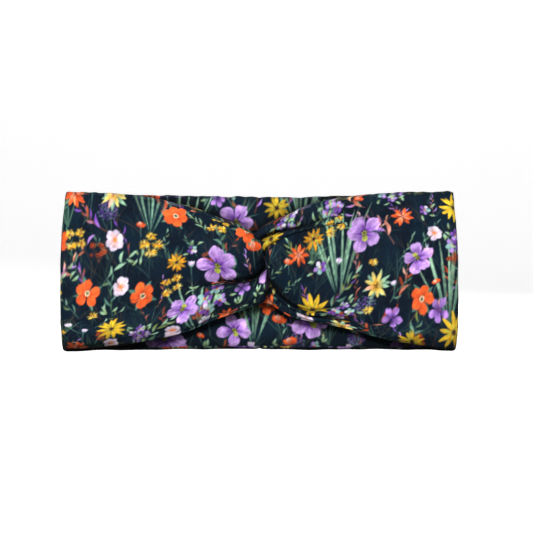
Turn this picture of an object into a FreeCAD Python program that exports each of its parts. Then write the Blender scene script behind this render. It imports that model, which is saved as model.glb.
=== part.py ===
import FreeCAD, Part
import Sketcher
import math
import os

# A knotted headband, pressed flat: a loop of double knit cloth whose front half is gathered into an
# interlocked knot. X runs along the loop, Z up across the cloth, and the knot faces -Y.
# The origin is the centre of the head opening, the slit between the front and the back half.

FRONT = -1
BACK = 1
LEFT = -1
RIGHT = 1

DRIVING_SIZES = [
    ("band_length", 240.0, "loop pressed flat, from side fold to side fold"),
    ("band_width", 94.0, "cloth width at the side folds"),
    ("top_waist", 3.0, "dip of the top edge at the middle of the back"),
    ("bottom_waist", 1.0, "rise of the bottom edge at the middle of the back"),
    ("ply_thickness", 0.8, "one ply of the knit"),
    ("ply_gap", 0.6, "space between outer and lining ply, where the seam thread lies"),
    ("slit_gap", 5.0, "space between the lining of the front and of the back"),
    ("knot_length", 40.0, "knot, along the loop"),
    ("knot_width", 50.0, "gathered cloth where it enters the knot"),
    ("knot_relief", 11.0, "how far the knot stands in front of the linings"),
    ("gather_start", 105.0, "distance from the middle where the front starts to narrow"),
    ("gather_radius", 290.0, "radius of the narrowing top and bottom edges"),
    ("end_clearance", 0.2, "free space between neighbouring pieces of cloth"),
    ("seam_inset", 4.0, "long seam, below the top edge"),
    ("thread_size", 0.4, "thread diameter"),
    ("stitch_length", 3.2, "one stitch"),
    ("stitch_pitch", 5.0, "from stitch to stitch"),
]

# Lengths that follow from the driving sizes, as expressions for the sheet.
HALF_WIDTH = "(sizes.band_width / 2)"
BAND_THICKNESS = "(2 * sizes.ply_thickness + sizes.ply_gap)"
SLIT_HALF = "(sizes.slit_gap / 2)"
FOLD_RADIUS = f"({SLIT_HALF} + {BAND_THICKNESS})"
FOLD_X = f"(sizes.band_length / 2 - {FOLD_RADIUS})"
CLOTH_END_X = f"({FOLD_X} - {FOLD_RADIUS} - sizes.end_clearance)"
KNOT_HALF = "(sizes.knot_length / 2)"
LINING_DEPTH = SLIT_HALF
OUTER_DEPTH = f"({SLIT_HALF} + sizes.ply_thickness + sizes.ply_gap)"

# Stations of a knot fold, from its wide end at the wing to its tip beyond the knot's middle. Each has its
# place along the knot (share of half the knot), its depth in front of the slit and half thickness (shares
# of the relief), and its middle height and half height (shares of the knot's width).
OVER_FOLD = [
    (0.99, 0.11, 0.10, 0.26, 0.23),
    (0.55, 0.60, 0.26, 0.30, 0.23),
    (0.05, 0.78, 0.22, 0.31, 0.20),
    (-0.35, 0.78, 0.15, 0.28, 0.10),
]
UNDER_FOLD = [
    (0.99, 0.11, 0.10, 0.25, 0.23),
    (0.60, 0.20, 0.16, 0.24, 0.21),
    (0.10, 0.22, 0.18, 0.22, 0.18),
    (-0.20, 0.20, 0.10, 0.19, 0.12),
]

doc = FreeCAD.newDocument("knotted_headband")


def make_sheet():
    sheet = doc.addObject("Spreadsheet::Sheet", "sizes")
    for row, (alias, value, meaning) in enumerate(DRIVING_SIZES, start=1):
        sheet.set(f"A{row}", alias)
        sheet.set(f"B{row}", str(value))
        sheet.set(f"C{row}", meaning)
        sheet.setAlias(f"B{row}", alias)
    doc.recompute()
    return sheet


sizes = make_sheet()


def origin_plane(body, role):
    return next(f for f in body.Origin.OriginFeatures if f.Role == role)


def draw_outline(sketch, corners, curved_edges):
    """A closed outline through corners, each a pair of expressions. An edge is straight, or bulges outward
    with the gathering radius when its number is in curved_edges."""
    points = []
    for across, up in corners:
        place = [float(sketch.evalExpression(text)) for text in (across, up)]
        points.append(FreeCAD.Vector(place[0], place[1], 0))
    centre = sum(points, FreeCAD.Vector()) / len(points)
    starts = []
    for number, start in enumerate(points):
        end = points[(number + 1) % len(points)]
        if number in curved_edges:
            starts.append(add_bulging_edge(sketch, start, end, centre))
        else:
            sketch.addGeometry(Part.LineSegment(start, end), False)
            starts.append((1, 2))
    count = len(points)
    for number in range(count):
        following = (number + 1) % count
        joint = (number, starts[number][1], following, starts[following][0])
        sketch.addConstraint(Sketcher.Constraint("Coincident", *joint))
    for number, (across, up) in enumerate(corners):
        vertex = starts[number][0]
        for kind, text, value in (
            ("DistanceX", across, points[number].x),
            ("DistanceY", up, points[number].y),
        ):
            row = sketch.addConstraint(Sketcher.Constraint(kind, -1, 1, number, vertex, value))
            sketch.setExpression(f"Constraints[{row}]", text)
    for number in curved_edges:
        radius = float(sizes.gather_radius)
        row = sketch.addConstraint(Sketcher.Constraint("Radius", number, radius))
        sketch.setExpression(f"Constraints[{row}]", "sizes.gather_radius")


def add_bulging_edge(sketch, start, end, inside):
    """Adds an arc from start to end that bulges away from inside. Returns the arc's vertex numbers at start
    and at end: an arc always runs anticlockwise, so its own first vertex can be either."""
    radius = float(sizes.gather_radius)
    chord = end - start
    middle = (start + end) / 2
    outward = FreeCAD.Vector(-chord.y, chord.x, 0).normalize()
    anticlockwise = outward.dot(middle - inside) < 0
    if anticlockwise:
        outward = -outward
    centre = middle - outward * (radius**2 - (chord.Length / 2) ** 2) ** 0.5
    angles = [math.atan2(point.y - centre.y, point.x - centre.x) for point in (start, end)]
    if not anticlockwise:
        angles.reverse()
    circle = Part.Circle(centre, FreeCAD.Vector(0, 0, 1), radius)
    sketch.addGeometry(Part.ArcOfCircle(circle, *angles), False)
    return (1, 2) if anticlockwise else (2, 1)


def make_ply(label, half, depth, corners, curved_edges=()):
    """One ply of cloth on the front or back half, its near face at the given depth from the slit's middle."""
    body = doc.addObject("PartDesign::Body", label)
    body.Label = label
    sketch = body.newObject("Sketcher::SketchObject", f"{label}_outline")
    sketch.AttachmentSupport = (origin_plane(body, "XZ_Plane"), [""])
    sketch.MapMode = "FlatFace"
    sketch.setExpression("AttachmentOffset.Base.z", f"{-half} * {depth}")
    draw_outline(sketch, corners, curved_edges)
    pad = body.newObject("PartDesign::Pad", f"{label}_thickness")
    pad.Profile = sketch
    pad.setExpression("Length", "sizes.ply_thickness")
    pad.Reversed = half == BACK
    return body


def wing_corners(side):
    """The gathered front half on one side, from the knot to the side fold."""
    inner = f"{side} * ({KNOT_HALF} + sizes.end_clearance)"
    outer = f"{side} * {CLOTH_END_X}"
    start = f"{side} * sizes.gather_start"
    gathered = "(sizes.knot_width / 2)"
    return [
        (inner, gathered),
        (start, HALF_WIDTH),
        (outer, HALF_WIDTH),
        (outer, f"-{HALF_WIDTH}"),
        (start, f"-{HALF_WIDTH}"),
        (inner, f"-{gathered}"),
    ]


WING_CURVED_EDGES = (0, 4)


def back_corners(side):
    """The long part of the back half on one side, from the back end piece to the side fold."""
    inner = f"{side} * ({KNOT_HALF} + sizes.end_clearance)"
    outer = f"{side} * {CLOTH_END_X}"
    return [
        (inner, f"{HALF_WIDTH} - sizes.top_waist"),
        (outer, HALF_WIDTH),
        (outer, f"-{HALF_WIDTH}"),
        (inner, f"-({HALF_WIDTH} - sizes.bottom_waist)"),
    ]


def back_end_corners(side):
    """The short piece beside the centre-back seam."""
    inner = f"{side} * sizes.end_clearance / 2"
    outer = f"{side} * {KNOT_HALF}"
    top = f"{HALF_WIDTH} - sizes.top_waist"
    bottom = f"-({HALF_WIDTH} - sizes.bottom_waist)"
    return [(inner, top), (outer, top), (outer, bottom), (inner, bottom)]


def make_side_fold(label, side):
    """The turn of the cloth from the front to the back half: half a tube, open towards the slit."""
    halves = []
    for name, radius in (("outside", FOLD_RADIUS), ("inside", SLIT_HALF)):
        cylinder = doc.addObject("Part::Cylinder", f"{label}_{name}")
        cylinder.setExpression("Radius", radius)
        cylinder.setExpression("Height", "sizes.band_width")
        cylinder.Angle = 180
        turn = FreeCAD.Rotation(FreeCAD.Vector(0, 0, 1), -90 * side)
        cylinder.Placement = FreeCAD.Placement(FreeCAD.Vector(), turn)
        cylinder.setExpression("Placement.Base.x", f"{side} * {FOLD_X}")
        cylinder.setExpression("Placement.Base.z", f"-{HALF_WIDTH}")
        halves.append(cylinder)
    fold = doc.addObject("Part::Cut", label)
    fold.Base, fold.Tool = halves
    fold.Label = label
    return fold


def make_knot_fold(label, side, level, stations):
    """One gathered fold of the knot, lofted through upright ellipses. Side says which strip it belongs to,
    and level is 1 for the upper and -1 for the lower fold."""
    sections = []
    for number, (along, depth, thickness, height, half_height) in enumerate(stations):
        section = doc.addObject("Part::Ellipse", f"{label}_section_{number}")
        upright = FreeCAD.Rotation(FreeCAD.Vector(0, 1, 0), 90)
        section.Placement = FreeCAD.Placement(FreeCAD.Vector(), upright)
        section.setExpression("MajorRadius", f"{half_height} * sizes.knot_width")
        section.setExpression("MinorRadius", f"{thickness} * sizes.knot_relief")
        section.setExpression("Placement.Base.x", f"{side * along} * {KNOT_HALF}")
        section.setExpression("Placement.Base.y", f"-({SLIT_HALF} + {depth} * sizes.knot_relief)")
        section.setExpression("Placement.Base.z", f"{level * height} * sizes.knot_width")
        sections.append(section)
    fold = doc.addObject("Part::Loft", label)
    fold.Sections = sections
    fold.Solid = True
    fold.Ruled = True
    fold.Label = label
    return fold


def make_stitches(label, places, direction):
    """A row of separate stitches, each a short straight length of thread that starts at its place."""
    radius = float(sizes.thread_size) / 2
    length = float(sizes.stitch_length)
    stitches = [Part.makeCylinder(radius, length, place, direction) for place in places]
    row = doc.addObject("Part::Feature", label)
    row.Shape = Part.makeCompound(stitches)
    row.Label = label
    return row


def stitch_steps(start, end):
    """Places of stitches in a row, from the lower number to the higher, with a margin at both ends."""
    pitch = float(sizes.stitch_pitch)
    length = float(sizes.stitch_length)
    count = int((end - start - length) // pitch) + 1
    margin = (end - start - (count - 1) * pitch - length) / 2
    return [start + margin + number * pitch for number in range(count)]


def number_of(expression):
    return float(sizes.evalExpression(expression))


def make_long_seam(label, side, half, start, end, start_height, end_height):
    """The thread inside the top edge, between the plies, from start to end along one side of the loop."""
    depth = number_of(f"{SLIT_HALF} + sizes.ply_thickness + sizes.ply_gap / 2")
    inset = float(sizes.seam_inset)
    slope = (end_height - start_height) / (end - start)
    direction = FreeCAD.Vector(side, 0, slope)
    places = []
    for along in stitch_steps(start, end):
        height = start_height + slope * (along - start) - inset
        places.append(FreeCAD.Vector(side * along, half * depth, height))
    return make_stitches(label, places, direction)


def make_cross_seam(label, across, depth, half_height):
    """An upright row of stitches across the cloth."""
    places = [FreeCAD.Vector(across, depth, height) for height in stitch_steps(-half_height, half_height)]
    return make_stitches(label, places, FreeCAD.Vector(0, 0, 1))


def make_wing_seam(label, side):
    """The wing's top edge narrows, so its seam runs in a straight line below the narrowing edge."""
    start = number_of(f"{KNOT_HALF} + sizes.end_clearance")
    end = number_of(CLOTH_END_X)
    start_height = number_of("sizes.knot_width / 2")
    return make_long_seam(label, side, FRONT, start, end, start_height, number_of(HALF_WIDTH))


def make_back_seam_parts(word, side):
    """Long seam threads of the back piece and of the back end piece on one side."""
    knot_half = number_of(KNOT_HALF)
    clearance = float(sizes.end_clearance)
    middle_height = number_of(f"{HALF_WIDTH} - sizes.top_waist")
    long_part = make_long_seam(
        f"{word}_back_seam_thread",
        side,
        BACK,
        knot_half + clearance,
        number_of(CLOTH_END_X),
        middle_height,
        number_of(HALF_WIDTH),
    )
    short_part = make_long_seam(
        f"{word}_back_end_seam_thread",
        side,
        BACK,
        2 * float(sizes.thread_size) + clearance,
        knot_half,
        middle_height,
        middle_height,
    )
    return [long_part, short_part]


def make_strip(word, side):
    """All cloth and long seam thread of one of the two strips, apart from its folds in the knot."""
    wing = wing_corners(side)
    back = back_corners(side)
    end = back_end_corners(side)
    pieces = [
        make_ply(f"{word}_wing_lining", FRONT, LINING_DEPTH, wing, WING_CURVED_EDGES),
        make_ply(f"{word}_wing_outer", FRONT, OUTER_DEPTH, wing, WING_CURVED_EDGES),
        make_wing_seam(f"{word}_wing_seam_thread", side),
        make_side_fold(f"{word}_side_fold", side),
        make_ply(f"{word}_back_lining", BACK, LINING_DEPTH, back),
        make_ply(f"{word}_back_outer", BACK, OUTER_DEPTH, back),
        make_ply(f"{word}_back_end_lining", BACK, LINING_DEPTH, end),
        make_ply(f"{word}_back_end_outer", BACK, OUTER_DEPTH, end),
    ]
    return pieces + make_back_seam_parts(word, side)


def make_knot():
    """The right strip passes in front above and behind below; the left strip does the opposite."""
    thread_depth = -number_of(f"{SLIT_HALF}")
    return [
        make_knot_fold("right_strip_upper_fold", RIGHT, 1, OVER_FOLD),
        make_knot_fold("left_strip_lower_fold", LEFT, -1, OVER_FOLD),
        make_knot_fold("left_strip_upper_fold", LEFT, 1, UNDER_FOLD),
        make_knot_fold("right_strip_lower_fold", RIGHT, -1, UNDER_FOLD),
        make_cross_seam("knot_seam_thread", 0.0, thread_depth, number_of("sizes.knot_width / 2")),
    ]


def make_centre_back_thread():
    """The thread that joins the two strips, inside the right strip's end."""
    depth = number_of(f"{SLIT_HALF} + sizes.ply_thickness + sizes.ply_gap / 2")
    across = number_of("sizes.end_clearance / 2 + sizes.thread_size / 2")
    half_height = number_of(f"{HALF_WIDTH} - sizes.top_waist")
    return make_cross_seam("centre_back_seam_thread", across, depth, half_height)


def check_document():
    for item in doc.Objects:
        if "Invalid" in item.State or "Error" in item.State:
            raise RuntimeError(f"{item.Label} could not be made: {item.State}")


def check_piece(piece):
    if piece.Shape.isNull() or not piece.Shape.isValid():
        raise RuntimeError(f"{piece.Label} has no valid shape")
    if not piece.Shape.Solids:
        raise RuntimeError(f"{piece.Label} has no solid")


pieces = make_strip("left", LEFT) + make_strip("right", RIGHT) + make_knot() + [make_centre_back_thread()]
doc.recompute()
check_document()
for piece in pieces:
    check_piece(piece)
os.makedirs("parts", exist_ok=True)
for piece in pieces:
    piece.Shape.exportStep(f"parts/{piece.Label}.step")
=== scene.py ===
import bpy
import math
import numpy as np
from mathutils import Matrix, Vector


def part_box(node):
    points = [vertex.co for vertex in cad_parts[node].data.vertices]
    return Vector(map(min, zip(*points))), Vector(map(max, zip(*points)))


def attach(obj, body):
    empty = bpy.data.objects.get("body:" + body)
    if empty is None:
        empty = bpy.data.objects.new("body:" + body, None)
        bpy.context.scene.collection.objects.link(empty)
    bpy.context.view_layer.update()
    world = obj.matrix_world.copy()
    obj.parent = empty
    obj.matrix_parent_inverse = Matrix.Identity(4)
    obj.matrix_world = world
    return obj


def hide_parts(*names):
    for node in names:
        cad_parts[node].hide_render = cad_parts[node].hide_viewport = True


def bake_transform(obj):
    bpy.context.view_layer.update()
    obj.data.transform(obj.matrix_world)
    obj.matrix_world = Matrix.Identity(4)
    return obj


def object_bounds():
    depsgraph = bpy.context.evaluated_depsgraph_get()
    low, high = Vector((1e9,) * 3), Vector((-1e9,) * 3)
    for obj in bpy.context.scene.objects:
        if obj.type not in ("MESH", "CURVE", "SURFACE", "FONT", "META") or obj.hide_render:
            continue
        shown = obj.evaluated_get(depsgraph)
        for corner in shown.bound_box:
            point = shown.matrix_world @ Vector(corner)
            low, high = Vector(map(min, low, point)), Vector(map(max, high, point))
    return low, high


# A knotted headband of printed knit. The cloth is built here as two strips, left and right, each from its
# gathered end in the knot, along the front, round the side fold and back to the centre-back seam.
# Lengths inside this script are in millimetres; meshes are scaled to metres when they are made.

MM = 0.001
LEFT = -1
RIGHT = 1

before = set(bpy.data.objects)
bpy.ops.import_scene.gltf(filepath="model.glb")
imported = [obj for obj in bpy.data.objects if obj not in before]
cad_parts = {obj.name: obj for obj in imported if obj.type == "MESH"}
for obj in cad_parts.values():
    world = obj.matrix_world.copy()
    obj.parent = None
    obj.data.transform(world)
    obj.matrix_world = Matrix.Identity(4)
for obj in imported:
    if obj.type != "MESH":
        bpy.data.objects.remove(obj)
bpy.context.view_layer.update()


# ---------------------------------------------------------------- sizes from the frame

def frame_box(node):
    low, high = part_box(node)
    return [value / MM for value in low], [value / MM for value in high]


_, FOLD_HIGH = frame_box("right_side_fold")
LINING_LOW, LINING_HIGH = frame_box("right_wing_lining")
END_LOW, END_HIGH = frame_box("right_back_end_outer")

HALF_LENGTH = FOLD_HIGH[0]
HALF_WIDTH = FOLD_HIGH[2]
CLOTH_WIDTH = 2 * HALF_WIDTH
OUTER_Y = FOLD_HIGH[1]
INNER_Y = -LINING_HIGH[1]
FOLD_X = HALF_LENGTH - OUTER_Y
TOP_WAIST = HALF_WIDTH - END_HIGH[2]
BOTTOM_WAIST = END_LOW[2] + HALF_WIDTH

# Where the gathered front ends and the plain band begins, and the usual size of a mesh face.
WING_END_X = 108.0
CELL = 0.45

# How far from the middle of the printed sheet each strip's cloth begins, so that the strips differ.
KNOT_RESERVE = 30.0


# ---------------------------------------------------------------- noise and curves

def smooth_step(low, high, value):
    share = np.clip((value - low) / (high - low), 0.0, 1.0)
    return share * share * (3.0 - 2.0 * share)


class Noise:
    """Smooth repeatable noise from -1 to 1 on the plane, with one feature per unit."""

    def __init__(self, seed, cells=64):
        self.cells = cells
        self.grid = np.random.default_rng(seed).uniform(-1.0, 1.0, (cells, cells))

    def __call__(self, x, y):
        x = np.asarray(x, float)
        y = np.asarray(y, float)
        column = np.floor(x).astype(int)
        row = np.floor(y).astype(int)
        across = x - column
        up = y - row
        across = across * across * (3 - 2 * across)
        up = up * up * (3 - 2 * up)
        total = 0.0
        for step_x, share_x in ((0, 1 - across), (1, across)):
            for step_y, share_y in ((0, 1 - up), (1, up)):
                corner = self.grid[(row + step_y) % self.cells, (column + step_x) % self.cells]
                total = total + corner * share_x * share_y
        return total


def layered(noise, x, y, octaves=3):
    total = 0.0
    for octave in range(octaves):
        scale = 2.0**octave
        total = total + noise(x * scale + 7.3 * octave, y * scale + 3.1 * octave) / scale
    return total


def curve_through(points, shares):
    """Points at the given shares of the length of a smooth curve through the control points."""
    points = np.array(points, float)
    padded = np.vstack([2 * points[0] - points[1], points, 2 * points[-1] - points[-2]])
    fine = []
    for number in range(len(points) - 1):
        before, start, end, after = padded[number : number + 4]
        knots = [0.0]
        for first, second in ((before, start), (start, end), (end, after)):
            knots.append(knots[-1] + max(np.linalg.norm(second - first), 1e-6) ** 0.5)
        places = np.linspace(knots[1], knots[2], 24, endpoint=False)[:, None]
        fine.append(catmull_rom((before, start, end, after), knots, places))
    fine.append(points[-1][None, :])
    fine = np.vstack(fine)
    steps = np.linalg.norm(np.diff(fine, axis=0), axis=1)
    along = np.concatenate([[0.0], np.cumsum(steps)])
    wanted = np.asarray(shares) * along[-1]
    return np.stack([np.interp(wanted, along, fine[:, axis]) for axis in range(3)], axis=1)


def catmull_rom(corners, knots, place):
    first, second, third, fourth = corners
    k0, k1, k2, k3 = knots
    a1 = (k1 - place) / (k1 - k0) * first + (place - k0) / (k1 - k0) * second
    a2 = (k2 - place) / (k2 - k1) * second + (place - k1) / (k2 - k1) * third
    a3 = (k3 - place) / (k3 - k2) * third + (place - k2) / (k3 - k2) * fourth
    b1 = (k2 - place) / (k2 - k0) * a1 + (place - k0) / (k2 - k0) * a2
    b2 = (k3 - place) / (k3 - k1) * a2 + (place - k1) / (k3 - k1) * a3
    return (k2 - place) / (k2 - k1) * b1 + (place - k1) / (k2 - k1) * b2


# ---------------------------------------------------------------- the floral print

INK = {
    "ground": (8, 17, 29),
    "ground_light": (11, 29, 42),
    "deep_green": (34, 54, 54),
    "grey_green": (82, 118, 102),
    "pale_green": (142, 180, 148),
    "mint": (136, 176, 170),
    "olive": (104, 116, 60),
    "lime": (160, 170, 60),
    "moss": (58, 84, 62),
    "lilac": (166, 122, 200),
    "pale_lilac": (192, 152, 218),
    "violet": (112, 66, 158),
    "deep_purple": (62, 34, 96),
    "orange": (226, 88, 40),
    "light_orange": (244, 128, 78),
    "deep_orange": (158, 54, 28),
    "blush": (232, 164, 140),
    "amber": (206, 138, 28),
    "yellow": (222, 178, 44),
    "pale_yellow": (226, 206, 116),
    "cream": (232, 222, 184),
    "white": (218, 202, 224),
    "pink_brown": (168, 104, 88),
    "brown": (92, 56, 44),
    "rust": (152, 72, 44),
    "dark": (18, 14, 22),
}
INK = {name: np.array(value, float) / 255.0 for name, value in INK.items()}


def ink(colour):
    """An ink by its name, or a colour that is mixed already."""
    return INK[colour] if isinstance(colour, str) else colour


def polar(x, y, reach, angle, flatness=1.0):
    """The place at a distance and an angle from (x, y), nearer in height where flatness is below 1."""
    return x + reach * math.cos(angle), y + flatness * reach * math.sin(angle)


class Canvas:
    """A sheet of printed cloth, painted in layers. Places and sizes are in millimetres."""

    DOTS_PER_MM = 4

    def __init__(self, low, high, seed):
        self.low = np.array(low, float)
        self.high = np.array(high, float)
        size = (self.high - self.low) * self.DOTS_PER_MM
        self.columns, self.rows = int(size[0]), int(size[1])
        self.area = float(np.prod(self.high - self.low))
        self.random = np.random.default_rng(seed)
        self.noise = Noise(seed + 1)
        x, y = self.coordinates(0, self.columns, 0, self.rows)
        wash = 0.5 + 0.5 * layered(self.noise, x / 9.0, y / 9.0, 4)
        wash = np.clip(wash, 0, 1)[..., None]
        self.colour = INK["ground"] * (1 - wash) + INK["ground_light"] * wash

    def coordinates(self, left, right, bottom, top):
        x = self.low[0] + (np.arange(left, right) + 0.5) / self.DOTS_PER_MM
        y = self.low[1] + (np.arange(bottom, top) + 0.5) / self.DOTS_PER_MM
        return np.meshgrid(x, y)

    def window(self, x, y, reach):
        left = int(max((x - reach - self.low[0]) * self.DOTS_PER_MM, 0))
        right = int(min((x + reach - self.low[0]) * self.DOTS_PER_MM, self.columns))
        bottom = int(max((y - reach - self.low[1]) * self.DOTS_PER_MM, 0))
        top = int(min((y + reach - self.low[1]) * self.DOTS_PER_MM, self.rows))
        if right <= left or top <= bottom:
            return None
        return left, right, bottom, top

    def lay(self, window, cover, colour):
        left, right, bottom, top = window
        part = self.colour[bottom:top, left:right]
        cover = np.clip(cover, 0, 1)[..., None]
        part *= 1 - cover
        part += np.clip(colour, 0, 1) * cover

    def bleed(self, passes):
        """Lets each dot run a little into its neighbours, as ink does in cloth."""
        for _ in range(passes):
            for axis in (0, 1):
                around = np.roll(self.colour, 1, axis) + np.roll(self.colour, -1, axis)
                self.colour = 0.5 * self.colour + 0.25 * around

    def pick(self, *names):
        """One of the inks named, at random."""
        return INK[names[self.random.integers(len(names))]]

    def any_turn(self):
        return self.random.uniform(0, 2 * math.pi)

    def petal(self, x, y, angle, length, width, base, tip, point=1.0, bow=0.0, heart=0.7):
        """One petal or leaf from (x, y) outwards. Point 0 gives it a broad round tip, 1 a narrow one, bow
        bends it sideways, and heart is how far out the base colour has given way to the tip colour."""
        window = self.window(x, y, length * 1.12)
        if window is None:
            return
        grid_x, grid_y = self.coordinates(*window)
        along = (grid_x - x) * math.cos(angle) + (grid_y - y) * math.sin(angle)
        across = -(grid_x - x) * math.sin(angle) + (grid_y - y) * math.cos(angle)
        phase = self.random.uniform(0, 40)
        ragged = 1 + 0.08 * self.noise(grid_x / 1.6 + phase, grid_y / 1.6)
        share = np.clip(along / (length * ragged), 0, 1)
        across = across - bow * length * share * (1 - share)
        half = width / 2 * np.sin(np.pi * share ** (1.75 - 0.95 * point)) ** (0.55 + 0.45 * point)
        inside = smooth_step(-0.13, 0.13, half - np.abs(across))
        inside = inside * smooth_step(0.0, 0.2, along) * (share < 1)
        edge = smooth_step(0.62, 0.95, np.abs(across) / np.maximum(half, 0.05))
        streak = self.noise(share * 2.0 + phase, across * 3.4 / max(width / 5, 0.6) + phase)
        wash = layered(self.noise, grid_x / 2.3 + phase, grid_y / 2.3 - phase, 2)
        blend = np.clip(share / heart + 0.16 * wash + 0.10 * streak, 0, 1)[..., None]
        colour = ink(base) * (1 - blend) + ink(tip) * blend
        shade = 1 + 0.13 * streak + 0.08 * wash + 0.16 * edge * share
        self.lay(window, inside * (0.95 + 0.05 * wash), colour * shade[..., None])

    def stroke(self, points, widths, colour, cover=0.85):
        """A tapered brush stroke along a smooth curve through two or three points."""
        points = np.array(points, float)
        share = np.linspace(0, 1, 160)[:, None]
        if len(points) == 2:
            track = points[0] * (1 - share) + points[1] * share
        else:
            track = points[0] * (1 - share) ** 2 + 2 * points[1] * share * (1 - share)
            track = track + points[2] * share**2
        radius = np.interp(share[:, 0], np.linspace(0, 1, len(widths)), widths) / 2 * self.DOTS_PER_MM
        track = (track - self.low) * self.DOTS_PER_MM
        reach = int(math.ceil(radius.max())) + 1
        offsets = np.arange(-reach, reach + 1)
        column = np.floor(track[:, 0]).astype(int)[:, None, None] + offsets[None, None, :]
        row = np.floor(track[:, 1]).astype(int)[:, None, None] + offsets[None, :, None]
        distance = np.hypot(column + 0.5 - track[:, 0, None, None], row + 0.5 - track[:, 1, None, None])
        alpha = np.clip(radius[:, None, None] - distance + 0.5, 0, 1)
        column, row = np.broadcast_arrays(column, row)
        keep = (column >= 0) & (column < self.columns) & (row >= 0) & (row < self.rows) & (alpha > 0)
        if not keep.any():
            return
        column, row, alpha = column[keep], row[keep], alpha[keep]
        window = column.min(), column.max() + 1, row.min(), row.max() + 1
        patch = np.zeros((window[3] - window[2], window[1] - window[0]))
        np.maximum.at(patch, (row - window[2], column - window[0]), alpha)
        tone = 1 + 0.22 * self.noise(self.random.uniform(0, 50), self.random.uniform(0, 50))
        self.lay(window, patch * cover, ink(colour) * tone)

    def disc(self, x, y, radius, colour, softness=0.3):
        window = self.window(x, y, radius * 1.4 + 0.3)
        if window is None:
            return
        grid_x, grid_y = self.coordinates(*window)
        phase = self.random.uniform(0, 40)
        ragged = radius * (1 + 0.16 * self.noise(grid_x / 0.9 + phase, grid_y / 0.9))
        cover = smooth_step(-softness / 2, softness / 2, ragged - np.hypot(grid_x - x, grid_y - y))
        shade = 1 + 0.25 * self.noise(grid_x / 0.5 + phase, grid_y / 0.5)
        self.lay(window, cover, ink(colour) * shade[..., None])

    def ring(self, x, y, radius, petals, base, tip, width, point, turn=None, heart=0.7):
        """A ring of petals, the later ones on top of the earlier ones."""
        turn = self.any_turn() if turn is None else turn
        for number in range(petals):
            angle = turn + 2 * math.pi * number / petals + self.random.uniform(-0.14, 0.14)
            length = radius * self.random.uniform(0.86, 1.08)
            tone = self.random.uniform(0.84, 1.1)
            bow = self.random.uniform(-0.25, 0.25)
            inks = ink(base) * tone, ink(tip) * tone
            self.petal(x, y, angle, length, radius * width, *inks, point, bow, heart)

    def stamens(self, x, y, radius, colour, count=9):
        for number in range(count):
            angle = 2 * math.pi * number / count + self.random.uniform(-0.3, 0.3)
            reach = radius * self.random.uniform(0.6, 1.2)
            end = polar(x, y, reach, angle)
            self.stroke([(x, y), end], [0.25, 0.2], colour)
            self.disc(end[0], end[1], 0.26, "dark")

    def purple_flower(self, x, y, radius):
        """Five broad lilac petals, violet at the heart, round a yellow-green boss."""
        turn = self.any_turn()
        self.ring(x, y, radius, 5, "violet", "pale_lilac", 0.7, 0.12, turn, 0.75)
        self.ring(x, y, radius * 0.5, 5, "deep_purple", "violet", 0.26, 0.8, turn)
        self.petal(x, y, turn + 0.4, radius * 0.42, radius * 0.3, "olive", "lime", 0.3)
        self.disc(x, y, radius * 0.13, "lime", 0.5)
        self.stamens(x, y, radius * 0.17, "dark")

    def orange_flower(self, x, y, radius):
        """Five or six round orange petals over grey-green leaves."""
        turn = self.any_turn()
        self.ring(x, y, radius * 1.32, 4, "moss", "grey_green", 0.26, 0.9)
        petals = int(self.random.integers(5, 7))
        self.ring(x, y, radius, petals, "deep_orange", "orange", 0.74, 0.1, turn, 0.5)
        self.disc(x, y, radius * 0.2, "cream", 0.4)
        self.disc(x, y, radius * 0.12, "dark", 0.3)
        self.disc(x, y, radius * 0.06, "lime", 0.2)

    def orange_star(self, x, y, radius):
        """Two rings of pointed orange petals, pink at the heart."""
        self.ring(x, y, radius, 8, "deep_orange", "orange", 0.34, 0.75)
        self.ring(x, y, radius * 0.72, 6, "blush", "light_orange", 0.28, 0.8)
        self.stamens(x, y, radius * 0.14, "blush", 6)

    def daisy(self, x, y, radius, tip="yellow", base="amber"):
        """A ring of narrow pointed petals round a small brown eye."""
        petals = int(self.random.integers(10, 13))
        self.ring(x, y, radius, petals, base, tip, 0.25, 0.82, heart=0.5)
        self.ring(x, y, radius * 0.55, 8, "olive", "lime", 0.16, 0.8, heart=0.5)
        self.disc(x, y, radius * 0.13, "brown", 0.4)
        self.stamens(x, y, radius * 0.15, "dark", 8)

    def mixed_daisy(self, x, y, radius):
        """Pointed petals from peach to pale green, with leaves between them."""
        self.ring(x, y, radius * 1.1, 6, "moss", "pale_green", 0.24, 0.85)
        turn = self.any_turn()
        for number in range(9):
            angle = turn + 2 * math.pi * number / 9 + self.random.uniform(-0.12, 0.12)
            length = radius * self.random.uniform(0.85, 1.1)
            tip = self.pick("pale_yellow", "pale_yellow", "pale_green", "blush")
            self.petal(x, y, angle, length, radius * 0.26, "amber", tip, 0.8, heart=0.6)
        self.stamens(x, y, radius * 0.2, "dark", 8)

    def tuft(self, x, y, radius):
        """A shaggy yellow head, ragged at its edge, on a thin stem."""
        lean = self.random.uniform(-0.5, 0.5)
        foot = (x + 9 * math.sin(lean), y - 9 * math.cos(lean))
        self.stroke([foot, (x, y)], [0.2, 0.4], "grey_green", 0.7)
        for _ in range(30):
            angle = self.any_turn()
            reach = radius * self.random.uniform(0.6, 1.0)
            end = polar(x, y, reach, angle, 0.8)
            self.stroke([(x, y), end], [0.9, 0.4], self.pick("yellow", "pale_yellow", "amber"), 0.85)
        for _ in range(7):
            angle = self.any_turn()
            reach = radius * self.random.uniform(0.1, 0.4)
            self.disc(*polar(x, y, reach, angle), 0.32, "brown")

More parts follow.
